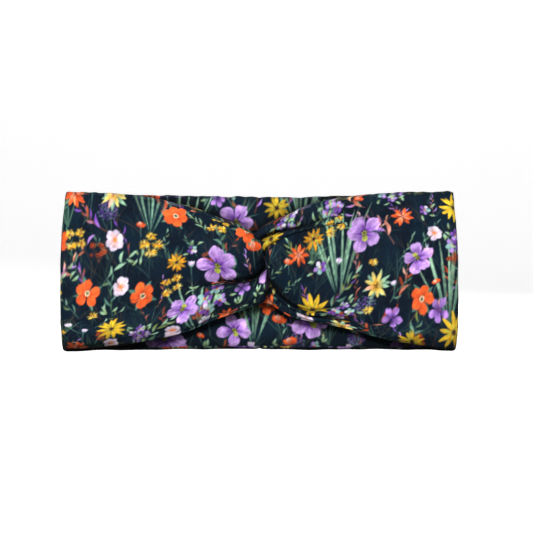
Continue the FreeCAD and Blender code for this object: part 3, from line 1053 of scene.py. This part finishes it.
def make_strip(side):
    """The whole visible cloth of one strip, and the numbers of the columns where it is cut into pieces."""
    front, front_along, front_across, front_lining_points = gathered_front(side)
    path, turn_end = band_path(OUTER_Y)
    inner_path, _ = band_path(INNER_Y)
    steps = np.linalg.norm(np.diff(np.vstack([[WING_END_X, -OUTER_Y], path]), axis=0), axis=1)
    places = WING_END_X + KNOT_RESERVE + np.cumsum(steps)
    start_low, start_high = front[-1, 0, 2], front[-1, -1, 2]
    turned = smooth_step(-OUTER_Y, OUTER_Y, path[:, 1])
    low = start_low * (1 - turned) + back_bottom(path[:, 0]) * turned
    high = start_high * (1 - turned) + back_top(path[:, 0]) * turned
    share = ((front[-1, :, 2] - start_low) / (start_high - start_low))[None, :]
    band = sheet_of(path * [side, 1], low, high, share)
    lining_share = np.linspace(1, 0, LINING_ROWS + 1)[None, :]
    inner_band = sheet_of(inner_path * [side, 1], low, high, lining_share)
    outer = settle(np.concatenate([front, band]), side)
    lining = np.concatenate([front_lining_points, inner_band])
    along = np.concatenate([front_along, side * np.tile(places[:, None], (1, front.shape[1]))])
    across = np.concatenate([front_across, np.tile(front_across[-1:], (len(path), 1))])
    lining_along = np.concatenate(
        [
            front_lining_points[..., 0] + side * KNOT_RESERVE,
            side * np.tile(places[:, None], (1, LINING_ROWS + 1)),
        ]
    )
    cloth = close_tube(outer, lining, along, across, lining_along)
    cloth.points = taper_ends(cloth.points)
    soften(cloth)
    back_start = WING_COLUMNS + turn_end + BACK_OVERLAP
    return cloth, (0, WING_COLUMNS, back_start, len(cloth.points) - 1)


def sheet_of(path, low, high, share):
    """A grid of points over a path in (x, y), at shares of the height between low and high."""
    grid = np.empty((len(path), share.shape[1], 3))
    grid[..., 0] = path[:, :1]
    grid[..., 1] = path[:, 1:]
    grid[..., 2] = low[:, None] * (1 - share) + high[:, None] * share
    return grid


# ---------------------------------------------------------------- cloth simulation

# Every how many rows and columns the coarse sheet has a point, the solver's units for a millimetre, and
# the number of frames.
SETTLE_CELL = 5
SETTLE_SCALE = 0.01
SETTLE_FRAMES = 22

# The limits of how far the cloth may move outwards and inwards.
DEEPEST_SETTLE = 1.5
SHALLOWEST_SETTLE = -0.7

# Spare length of the cloth near the knot and in the plain band, and over which distances it changes.
GATHER_SLACK = 0.03
BAND_SLACK = 0.006
SLACK_ZONE = (95.0, 20.0)

# How firmly the sheet keeps its place: in general, in addition near the knot, and from the side fold on.
CLOTH_HOLD = 0.3
KNOT_HOLD = 0.5
KNOT_HOLD_ZONE = (34.0, 8.0)
FOLD_HOLD = 0.6
FOLD_HOLD_MARGIN = 2.0
CLOTH_BENDING = 30.0

# The unevenness that the solver starts from, and what is added on the back, which is far from the knot.
START_DEPTH = 0.35
START_LENGTH = 9.0
START_WIDTH = 6.0
BACK_DISTANCE = 400.0


def sheet_normals(points, side):
    """Unit normals of an open outer sheet, pointing away from the lining."""
    normal = np.cross(np.gradient(points, axis=0), np.gradient(points, axis=1)) * side
    return normal / np.maximum(np.linalg.norm(normal, axis=2, keepdims=True), 1e-9)


def cubic_weights(fine, coarse):
    """A matrix that carries evenly spaced values to a finer even spacing, with smooth slopes."""
    place = np.linspace(0, coarse - 1, fine)
    base = np.minimum(place.astype(int), coarse - 2)
    t = place - base
    shares = (
        (-1, -0.5 * t + t**2 - 0.5 * t**3),
        (0, 1 - 2.5 * t**2 + 1.5 * t**3),
        (1, 0.5 * t + 2 * t**2 - 1.5 * t**3),
        (2, -0.5 * t**2 + 0.5 * t**3),
    )
    weights = np.zeros((fine, coarse))
    for step, share in shares:
        np.add.at(weights, (np.arange(fine), np.clip(base + step, 0, coarse - 1)), share)
    return weights


def simulate_sheet(points, hold, slack):
    """Blender's cloth solver on one open sheet. Hold is how firmly each point keeps its place, and slack is
    how much longer than its drawn length the cloth is there, from 0 to GATHER_SLACK."""
    columns, rows = points.shape[:2]
    index = np.arange(columns * rows).reshape(columns, rows)
    faces = np.stack([index[:-1, :-1], index[1:, :-1], index[1:, 1:], index[:-1, 1:]], axis=2)
    mesh = bpy.data.meshes.new("settling")
    mesh.from_pydata((points.reshape(-1, 3) * SETTLE_SCALE).tolist(), [], faces.reshape(-1, 4).tolist())
    sheet = add_object("settling", mesh)
    held = sheet.vertex_groups.new(name="held")
    taut = sheet.vertex_groups.new(name="taut")
    for number, (weight, spare) in enumerate(zip(hold.ravel().tolist(), slack.ravel().tolist())):
        held.add([number], weight, "REPLACE")
        taut.add([number], 1.0 - spare / GATHER_SLACK, "REPLACE")
    modifier = sheet.modifiers.new("cloth", "CLOTH")
    settings = modifier.settings
    settings.quality = 6
    settings.mass = 0.2
    settings.tension_stiffness = 12
    settings.compression_stiffness = 12
    settings.shear_stiffness = 4
    settings.bending_stiffness = CLOTH_BENDING
    settings.vertex_group_mass = "held"
    settings.pin_stiffness = 0.6
    settings.vertex_group_shrink = "taut"
    settings.shrink_min = -GATHER_SLACK
    settings.shrink_max = 0.0
    settings.effector_weights.gravity = 0
    modifier.collision_settings.use_collision = False
    modifier.point_cache.frame_end = SETTLE_FRAMES
    scene = bpy.context.scene
    for number in range(1, SETTLE_FRAMES + 1):
        scene.frame_set(number)
    settled = sheet.evaluated_get(bpy.context.evaluated_depsgraph_get())
    moved = np.empty(columns * rows * 3, np.float32)
    settled.data.vertices.foreach_get("co", moved)
    bpy.data.objects.remove(sheet)
    bpy.data.meshes.remove(mesh)
    scene.frame_set(1)
    return moved.reshape(points.shape) / SETTLE_SCALE


def settle(points, side):
    """The outer sheet after the cloth solver has let its slack buckle into soft wrinkles."""
    columns, rows = points.shape[:2]
    few_columns, few_rows = columns // SETTLE_CELL, rows // SETTLE_CELL
    pick_columns = np.linspace(0, columns - 1, few_columns).round().astype(int)
    pick_rows = np.linspace(0, rows - 1, few_rows).round().astype(int)
    coarse = points[np.ix_(pick_columns, pick_rows)]
    normal = sheet_normals(coarse, side)
    across = np.linspace(0, CLOTH_WIDTH, few_rows)[None, :]
    from_knot = np.abs(coarse[..., 0]) + BACK_DISTANCE * (coarse[..., 1] > 0)
    unevenness = WRINKLE(from_knot / START_LENGTH, across / START_WIDTH + 3.0)
    start = coarse + normal * START_DEPTH * unevenness[..., None]
    hold = CLOTH_HOLD + KNOT_HOLD * smooth_step(*KNOT_HOLD_ZONE, from_knot)
    hold[coarse[..., 0] * side > FOLD_X - FOLD_HOLD_MARGIN] = FOLD_HOLD
    hold[:2] = hold[-2:] = 1.0
    hold[:, :1] = hold[:, -1:] = 1.0
    slack = BAND_SLACK + (GATHER_SLACK - BAND_SLACK) * smooth_step(*SLACK_ZONE, from_knot)
    moved = simulate_sheet(start, hold, slack)
    depth = np.einsum("ijk,ijk->ij", moved - coarse, normal)
    middle = (DEEPEST_SETTLE + SHALLOWEST_SETTLE) / 2
    reach = (DEEPEST_SETTLE - SHALLOWEST_SETTLE) / 2
    depth = middle + reach * np.tanh((depth - middle) / reach)
    around = (depth[:-2, 1:-1] + depth[2:, 1:-1] + depth[1:-1, :-2] + depth[1:-1, 2:]) / 4
    depth[1:-1, 1:-1] = (depth[1:-1, 1:-1] + around) / 2
    depth = cubic_weights(columns, few_columns) @ depth @ cubic_weights(rows, few_rows).T
    return points + sheet_normals(points, side) * depth[..., None]


# ---------------------------------------------------------------- meshes

def add_object(name, data):
    """A new object of the scene that holds a mesh, light or camera."""
    holder = bpy.data.objects.new(name, data)
    bpy.context.scene.collection.objects.link(holder)
    return holder


def smooth_mesh(name, points, faces):
    mesh = bpy.data.meshes.new(name)
    mesh.from_pydata(np.asarray(points).tolist(), [], faces)
    mesh.polygons.foreach_set("use_smooth", [True] * len(faces))
    mesh.update()
    return mesh


def mesh_from_cloth(name, cloth, first, last, prints, material):
    """One smooth mesh piece from a range of the cloth's columns, with the print as a colour attribute and
    the cloth's own millimetres as UVs."""
    part = slice(first, last + 1)
    columns, rows = last + 1 - first, cloth.points.shape[1]
    index = np.arange(columns * rows).reshape(columns, rows)
    a = index[:-1, :]
    b = index[1:, :]
    c = np.roll(b, -1, axis=1)
    d = np.roll(a, -1, axis=1)
    faces = np.stack([a, b, c, d], axis=2).reshape(-1, 4)
    points = cloth.points[part].reshape(-1, 3) * MM
    normals = cloth.normals[part].reshape(-1, 3)
    if facing(points, faces, normals) < 0:
        faces = faces[:, ::-1]
    mesh = smooth_mesh(name, points, faces.tolist())
    outer, lining = prints
    along, across = cloth.along[part].ravel(), cloth.across[part].ravel()
    is_lining = cloth.lining[part].ravel()
    share = is_lining[:, None]
    from_back = cloth.from_back[part].ravel()
    outside = printed_colour(outer, along, across)
    inside = printed_colour(lining, from_back, across)
    colour = outside * (1 - share) + inside * share
    rgba = np.ones((len(points), 4), np.float32)
    rgba[:, :3] = linear_colour(colour)
    attribute = mesh.color_attributes.new("print", "FLOAT_COLOR", "POINT")
    attribute.data.foreach_set("color", rgba.ravel())
    uv_layer = mesh.uv_layers.new(name="cloth")
    places = np.stack([along, across], axis=1)[faces.ravel()]
    uv_layer.data.foreach_set("uv", places.astype(np.float32).ravel())
    mesh.update()
    mesh.normals_split_custom_set_from_vertices(normals.tolist())
    piece = add_object(name, mesh)
    mesh.materials.append(material)
    return piece


def facing(points, faces, normals):
    """Above 0 if the faces' corners run so that the faces look the same way as the normals."""
    corner = points[faces]
    face_normal = np.cross(corner[:, 2] - corner[:, 0], corner[:, 3] - corner[:, 1])
    return float(np.einsum("ij,ij->", normals[faces[:, 0]], face_normal))


# ---------------------------------------------------------------- stitches

STITCH_LENGTH = 3.2
STITCH_PITCH = 5.0
THREAD_RADIUS = 0.2
THREAD_SIDES = 8
STITCH_TAPER = np.array([0.5, 0.9, 1, 1, 1, 0.9, 0.5])
# How many rows of mesh below the top edge the seam runs, in each ply.
SEAM_ROWS_OUTER = 9
SEAM_ROWS_LINING = 7


def stitch_tube(centres, radii):
    """A closed round tube through the centres: its points, and its faces counted from zero."""
    way = np.gradient(centres, axis=0)
    way = way / np.linalg.norm(way, axis=1, keepdims=True)
    side = np.cross(way, [0.31, 1.0, 0.17])
    side = side / np.linalg.norm(side, axis=1, keepdims=True)
    other = np.cross(way, side)
    angles = 2 * np.pi * np.arange(THREAD_SIDES) / THREAD_SIDES
    spokes = side[:, None, :] * np.cos(angles)[None, :, None]
    spokes = spokes + other[:, None, :] * np.sin(angles)[None, :, None]
    points = (centres[:, None, :] + spokes * np.asarray(radii)[:, None, None]).reshape(-1, 3)
    faces = []
    for ring in range(len(centres) - 1):
        for spoke in range(THREAD_SIDES):
            after = (spoke + 1) % THREAD_SIDES
            low, high = ring * THREAD_SIDES, (ring + 1) * THREAD_SIDES
            faces.append((low + spoke, low + after, high + after, high + spoke))
    last = (len(centres) - 1) * THREAD_SIDES
    faces.append(tuple(range(THREAD_SIDES - 1, -1, -1)))
    faces.append(tuple(range(last, last + THREAD_SIDES)))
    return points, faces


def stitch_row(name, track, replaced, material):
    """A row of running stitches along a track of points, in place of the CAD rows named."""
    track = np.asarray(track, float)
    steps = np.linalg.norm(np.diff(track, axis=0), axis=1)
    along = np.concatenate([[0.0], np.cumsum(steps)])
    points, faces = [], []
    for start in np.arange(1.0, along[-1] - STITCH_LENGTH, STITCH_PITCH):
        places = np.linspace(start, start + STITCH_LENGTH, len(STITCH_TAPER))
        centres = np.stack([np.interp(places, along, track[:, axis]) for axis in range(3)], axis=1)
        tube_points, tube_faces = stitch_tube(centres, THREAD_RADIUS * STITCH_TAPER)
        base = len(points) * len(tube_points)
        faces += [tuple(corner + base for corner in face) for face in tube_faces]
        points.append(tube_points)
    piece = add_object(name, smooth_mesh(name, np.concatenate(points) * MM, faces))
    piece.data.materials.append(material)
    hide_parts(*replaced)
    return piece


def top_seam_track(cloth, first, last):
    """Between the plies, just under the top edge of a stretch of the cloth."""
    outer = cloth.points[first:last, cloth.outer_rows - 1 - SEAM_ROWS_OUTER]
    lining = cloth.points[first:last, cloth.outer_rows + EDGE_ROWS + SEAM_ROWS_LINING]
    return (outer + lining) / 2


# ---------------------------------------------------------------- materials

def new_material(name):
    material = bpy.data.materials.new(name)
    material.use_nodes = True
    nodes = material.node_tree.nodes
    nodes.clear()
    return material, nodes, material.node_tree.links


def add_node(nodes, kind, values=None, **settings):
    """A new shader node with its settings, and with values for its inputs by name or number."""
    node = nodes.new(kind)
    for name, value in settings.items():
        setattr(node, name, value)
    for name, value in (values or {}).items():
        node.inputs[name].default_value = value
    return node


def multiply_colours(nodes, links, first, second):
    mix = add_node(nodes, "ShaderNodeMix", {0: 1.0}, data_type="RGBA", blend_type="MULTIPLY")
    links.new(first, mix.inputs[6])
    links.new(second, mix.inputs[7])
    return mix.outputs[2]


def add_bump(nodes, links, height, strength, distance, surface):
    bump = add_node(nodes, "ShaderNodeBump", {"Strength": strength, "Distance": distance * MM})
    links.new(height, bump.inputs["Height"])
    links.new(bump.outputs["Normal"], surface.inputs["Normal"])


def map_range(nodes, links, value, low, high):
    """The value, from 0 to 1, brought between low and high."""
    node = add_node(nodes, "ShaderNodeMapRange", {"To Min": low, "To Max": high})
    links.new(value, node.inputs["Value"])
    return node.outputs["Result"]


# Painted shade in creases: how far the ambient occlusion reaches, and the power with which it darkens the
# print.
CREASE_SHADE_REACH = 13.0
CREASE_SHADE_POWER = 2.8
KNIT_RELIEF = 0.12
THREAD_RELIEF = 0.05


def knit_material():
    """Brushed printed knit: the print, fine knitted ribs, a soft nap, a faint sheen and painted shade that
    darkens the print in creases.
    """
    material, nodes, links = new_material("floral_knit")
    output = add_node(nodes, "ShaderNodeOutputMaterial")
    looks = {
        "Sheen Weight": 0.03,
        "Sheen Roughness": 0.4,
        "Sheen Tint": (0.55, 0.75, 1.0, 1.0),
        "Specular IOR Level": 0.05,
    }
    cloth = add_node(nodes, "ShaderNodeBsdfPrincipled", looks)
    links.new(cloth.outputs["BSDF"], output.inputs["Surface"])
    print_colour = add_node(nodes, "ShaderNodeAttribute", attribute_name="print")
    place = add_node(nodes, "ShaderNodeUVMap", uv_map="cloth")
    rows = {"Scale": 0.5, "Distortion": 0.6, "Detail Scale": 3.0}
    wales = add_node(nodes, "ShaderNodeTexWave", rows, wave_type="BANDS", bands_direction="Y")
    rows = {"Scale": 0.62, "Distortion": 1.2, "Detail Scale": 4.0}
    courses = add_node(nodes, "ShaderNodeTexWave", rows, wave_type="BANDS", bands_direction="X")
    nap = add_node(nodes, "ShaderNodeTexNoise", {"Scale": 2.4, "Detail": 3.0})
    blotch = add_node(nodes, "ShaderNodeTexNoise", {"Scale": 0.06, "Detail": 3.0})
    for texture in (wales, courses, nap, blotch):
        links.new(place.outputs["UV"], texture.inputs["Vector"])
    knit = add_node(nodes, "ShaderNodeMath", operation="MULTIPLY")
    links.new(wales.outputs["Fac"], knit.inputs[0])
    links.new(courses.outputs["Fac"], knit.inputs[1])
    relief = add_node(nodes, "ShaderNodeMath", {1: 0.8}, operation="MULTIPLY_ADD")
    links.new(nap.outputs["Fac"], relief.inputs[0])
    links.new(knit.outputs["Value"], relief.inputs[2])
    add_bump(nodes, links, relief.outputs["Value"], 0.35, KNIT_RELIEF, cloth)
    tone = map_range(nodes, links, knit.outputs["Value"], 0.86, 1.12)
    shade = multiply_colours(nodes, links, print_colour.outputs["Color"], tone)
    # Painted shade: the print's colour is multiplied by ambient occlusion, so creases and folds come out
    # darker.
    crease_occlusion = add_node(nodes, "ShaderNodeAmbientOcclusion", {"Distance": CREASE_SHADE_REACH * MM})
    depth = add_node(nodes, "ShaderNodeMath", {1: CREASE_SHADE_POWER}, operation="POWER")
    links.new(crease_occlusion.outputs["AO"], depth.inputs[0])
    crease_shaded_colour = multiply_colours(nodes, links, shade, depth.outputs["Value"])
    links.new(crease_shaded_colour, cloth.inputs["Base Color"])
    links.new(map_range(nodes, links, blotch.outputs["Fac"], 0.62, 0.86), cloth.inputs["Roughness"])
    return material


def thread_material():
    """Dark twisted sewing thread."""
    material, nodes, links = new_material("twisted_thread")
    output = add_node(nodes, "ShaderNodeOutputMaterial")
    thread = add_node(nodes, "ShaderNodeBsdfPrincipled", {"Roughness": 0.55, "Sheen Weight": 0.3})
    links.new(thread.outputs["BSDF"], output.inputs["Surface"])
    place = add_node(nodes, "ShaderNodeTexCoord")
    turns = {"Scale": 900.0, "Distortion": 1.0}
    twist = add_node(nodes, "ShaderNodeTexWave", turns, bands_direction="DIAGONAL")
    links.new(place.outputs["Object"], twist.inputs["Vector"])
    ramp = add_node(nodes, "ShaderNodeValToRGB")
    ramp.color_ramp.elements[0].color = (0.012, 0.016, 0.028, 1)
    ramp.color_ramp.elements[1].color = (0.045, 0.055, 0.085, 1)
    links.new(twist.outputs["Fac"], ramp.inputs["Fac"])
    links.new(ramp.outputs["Color"], thread.inputs["Base Color"])
    add_bump(nodes, links, twist.outputs["Fac"], 0.6, THREAD_RELIEF, thread)
    return material


# ---------------------------------------------------------------- pieces

# The column of the cloth at which the front's top stitches begin.
FIRST_STITCH_COLUMN = 30

# Half the height of the knot's tacks, and how far the rows of stitches keep from the middle of the cloth
# and from the ends of the centre-back seam.
TACK_REACH = 9
TACK_OFFSET = 0.3
SEAM_X = 0.5
SEAM_OFFSET = 0.4
SEAM_BOTTOM_GAP = 4
SEAM_TOP_GAP = 2


def side_word(side):
    return "right" if side == RIGHT else "left"


def bend(piece):
    """Bakes the piece's transform into its mesh."""
    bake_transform(piece)


def bend_front(piece):
    """Bakes the front's transform into its mesh."""
    bend(piece)


def bend_rear(piece):
    """Bakes the back's transform into its mesh."""
    bend(piece)


def make_cloth_pieces(side, cloth, cuts, prints, material):
    """The front, the side fold and the back of one strip, in place of its CAD plies."""
    word = side_word(side)
    wing_start, fold_start, back_start, back_end = cuts
    front = mesh_from_cloth(f"{word}_front_cloth", cloth, wing_start, fold_start, prints, material)
    bend_front(front)
    knot_folds = [f"{word}_strip_upper_fold", f"{word}_strip_lower_fold"]
    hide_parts(f"{word}_wing_outer", f"{word}_wing_lining", *knot_folds)
    turn = mesh_from_cloth(f"{word}_side_fold_cloth", cloth, fold_start, back_start, prints, material)
    bend(turn)
    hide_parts(f"{word}_side_fold")
    rear = mesh_from_cloth(f"{word}_back_cloth", cloth, back_start, back_end, prints, material)
    bend_rear(rear)
    panels = [f"{word}_{part}_{ply}" for part in ("back", "back_end") for ply in ("outer", "lining")]
    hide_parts(*panels)


def make_top_stitches(side, cloth, cuts, thread):
    """The long seam inside the top edge of one strip's front and back."""
    word = side_word(side)
    _, fold_start, back_start, back_end = cuts
    track = top_seam_track(cloth, FIRST_STITCH_COLUMN, fold_start)
    front_row = stitch_row(f"{word}_front_stitches", track, [f"{word}_wing_seam_thread"], thread)
    bend_front(front_row)
    track = top_seam_track(cloth, back_start, back_end)
    threads = [f"{word}_back_seam_thread", f"{word}_back_end_seam_thread"]
    bend_rear(stitch_row(f"{word}_back_stitches", track, threads, thread))


def make_middle_stitches(thread):
    """The hidden tacks in the knot, and the upright row that closes the centre-back seam."""
    middle_y = (OUTER_Y + INNER_Y) / 2
    tacks = [(0.0, -middle_y + TACK_OFFSET, z) for z in np.linspace(-TACK_REACH, TACK_REACH, 40)]
    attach(stitch_row("knot_stitches", tacks, ["knot_seam_thread"], thread), "knot")
    heights = np.linspace(LINING_LOW[2] + SEAM_BOTTOM_GAP, END_HIGH[2] - SEAM_TOP_GAP, 120)
    upright = [(SEAM_X, middle_y - SEAM_OFFSET, z) for z in heights]
    seam = stitch_row("centre_back_stitches", upright, ["centre_back_seam_thread"], thread)
    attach(seam, "right_back_end")


# ---------------------------------------------------------------- stage, light and camera

FLOOR_COLOUR = (0.62, 0.62, 0.62, 1)
FLOOR_GLOW = 0.75
FLOOR_GAP = 0.0004
FLOOR_HALF_WIDTH = 4.0
FLOOR_FRONT = -3.0
BACKDROP_START = 1.6
BACKDROP_CURVE = 0.6
BACKDROP_HEIGHT = 3.0

# Light that falls on the cloth from all round, and the white that the camera sees behind it.
AROUND_LIGHT = 0.13
BACKDROP_LIGHT = 0.97
WHITE = (1, 1, 1, 1)

# Name, place in metres, width and power of each lamp.
LAMPS = [
    ("key", (-0.15, -1.0, 0.6), 0.3, 20.5),
    ("fill", (0.9, -1.1, 0.3), 0.9, 2.5),
    ("rear", (0.3, 1.2, 0.8), 0.9, 24),
]

# In metres: what the square picture spans at the band, how far away the camera is, and its middle.
FRAME_WIDTH = 0.3216
CAMERA_DISTANCE = 1.1
CAMERA_X = 0.0043
CAMERA_Z = 0.003


def choose_for_camera(nodes, links, usual, seen):
    """One shader for the light that reaches the cloth and another for what the camera sees."""
    path = add_node(nodes, "ShaderNodeLightPath")
    choice = add_node(nodes, "ShaderNodeMixShader")
    links.new(path.outputs["Is Camera Ray"], choice.inputs[0])
    links.new(usual, choice.inputs[1])
    links.new(seen, choice.inputs[2])
    return choice.outputs["Shader"]


def floor_material():
    """A pale floor that looks white to the camera and throws little light up at the cloth."""
    material, nodes, links = new_material("pale_floor")
    output = add_node(nodes, "ShaderNodeOutputMaterial")
    surface = add_node(nodes, "ShaderNodeBsdfPrincipled", {"Base Color": FLOOR_COLOUR, "Roughness": 0.9})
    glow = add_node(nodes, "ShaderNodeEmission", {"Strength": FLOOR_GLOW})
    both = add_node(nodes, "ShaderNodeAddShader")
    links.new(surface.outputs["BSDF"], both.inputs[0])
    links.new(glow.outputs["Emission"], both.inputs[1])
    seen = choose_for_camera(nodes, links, surface.outputs["BSDF"], both.outputs["Shader"])
    links.new(seen, output.inputs["Surface"])
    return material


def make_stage():
    """A white floor under the lower edge, which rises into a backdrop far behind."""
    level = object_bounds()[0].z - FLOOR_GAP
    profile = [(FLOOR_FRONT, 0.0), (BACKDROP_START, 0.0)]
    for angle in np.linspace(0.1, math.pi / 2, 14):
        rise = BACKDROP_CURVE - BACKDROP_CURVE * math.cos(angle)
        profile.append((BACKDROP_START + BACKDROP_CURVE * math.sin(angle), rise))
    profile.append((BACKDROP_START + BACKDROP_CURVE, BACKDROP_HEIGHT))
    points = [(x, y, z + level) for y, z in profile for x in (-FLOOR_HALF_WIDTH, FLOOR_HALF_WIDTH)]
    faces = [(2 * n, 2 * n + 1, 2 * n + 3, 2 * n + 2) for n in range(len(profile) - 1)]
    mesh = smooth_mesh("floor", points, faces)
    mesh.materials.append(floor_material())
    add_object("floor", mesh)


def add_lamp(name, place, width, power):
    """A round soft lamp that looks at the middle of the band."""
    light = bpy.data.lights.new(name, "AREA")
    light.energy = power
    light.shape = "DISK"
    light.size = width
    holder = add_object(name, light)
    holder.location = place
    holder.rotation_euler = (-Vector(place)).to_track_quat("-Z", "Y").to_euler()


def make_lights():
    world = bpy.data.worlds.new("soft_white")
    bpy.context.scene.world = world
    world.use_nodes = True
    nodes, links = world.node_tree.nodes, world.node_tree.links
    around = nodes["Background"]
    around.inputs["Color"].default_value = WHITE
    around.inputs["Strength"].default_value = AROUND_LIGHT
    backdrop = add_node(nodes, "ShaderNodeBackground", {"Color": WHITE, "Strength": BACKDROP_LIGHT})
    seen = choose_for_camera(nodes, links, around.outputs["Background"], backdrop.outputs["Background"])
    links.new(seen, nodes["World Output"].inputs["Surface"])
    for lamp in LAMPS:
        add_lamp(*lamp)


def make_camera():
    """Straight on, with the band a little left of and below the middle of a square frame."""
    camera = bpy.data.cameras.new("camera")
    camera.sensor_width = 36.0
    camera.lens = camera.sensor_width * CAMERA_DISTANCE / FRAME_WIDTH
    holder = add_object("camera", camera)
    holder.location = (CAMERA_X, -CAMERA_DISTANCE, CAMERA_Z)
    holder.rotation_euler = (math.pi / 2, 0, 0)
    bpy.context.scene.camera = holder
    bpy.context.scene.view_settings.view_transform = "Standard"


strips = {side: make_strip(side) for side in (LEFT, RIGHT)}
prints = (paint_print(OUTER_SEED), paint_print(LINING_SEED))
knit = knit_material()
thread = thread_material()
for side, (cloth, cuts) in strips.items():
    make_cloth_pieces(side, cloth, cuts, prints, knit)
    make_top_stitches(side, cloth, cuts, thread)
make_middle_stitches(thread)
make_lights()
make_camera()
make_stage()
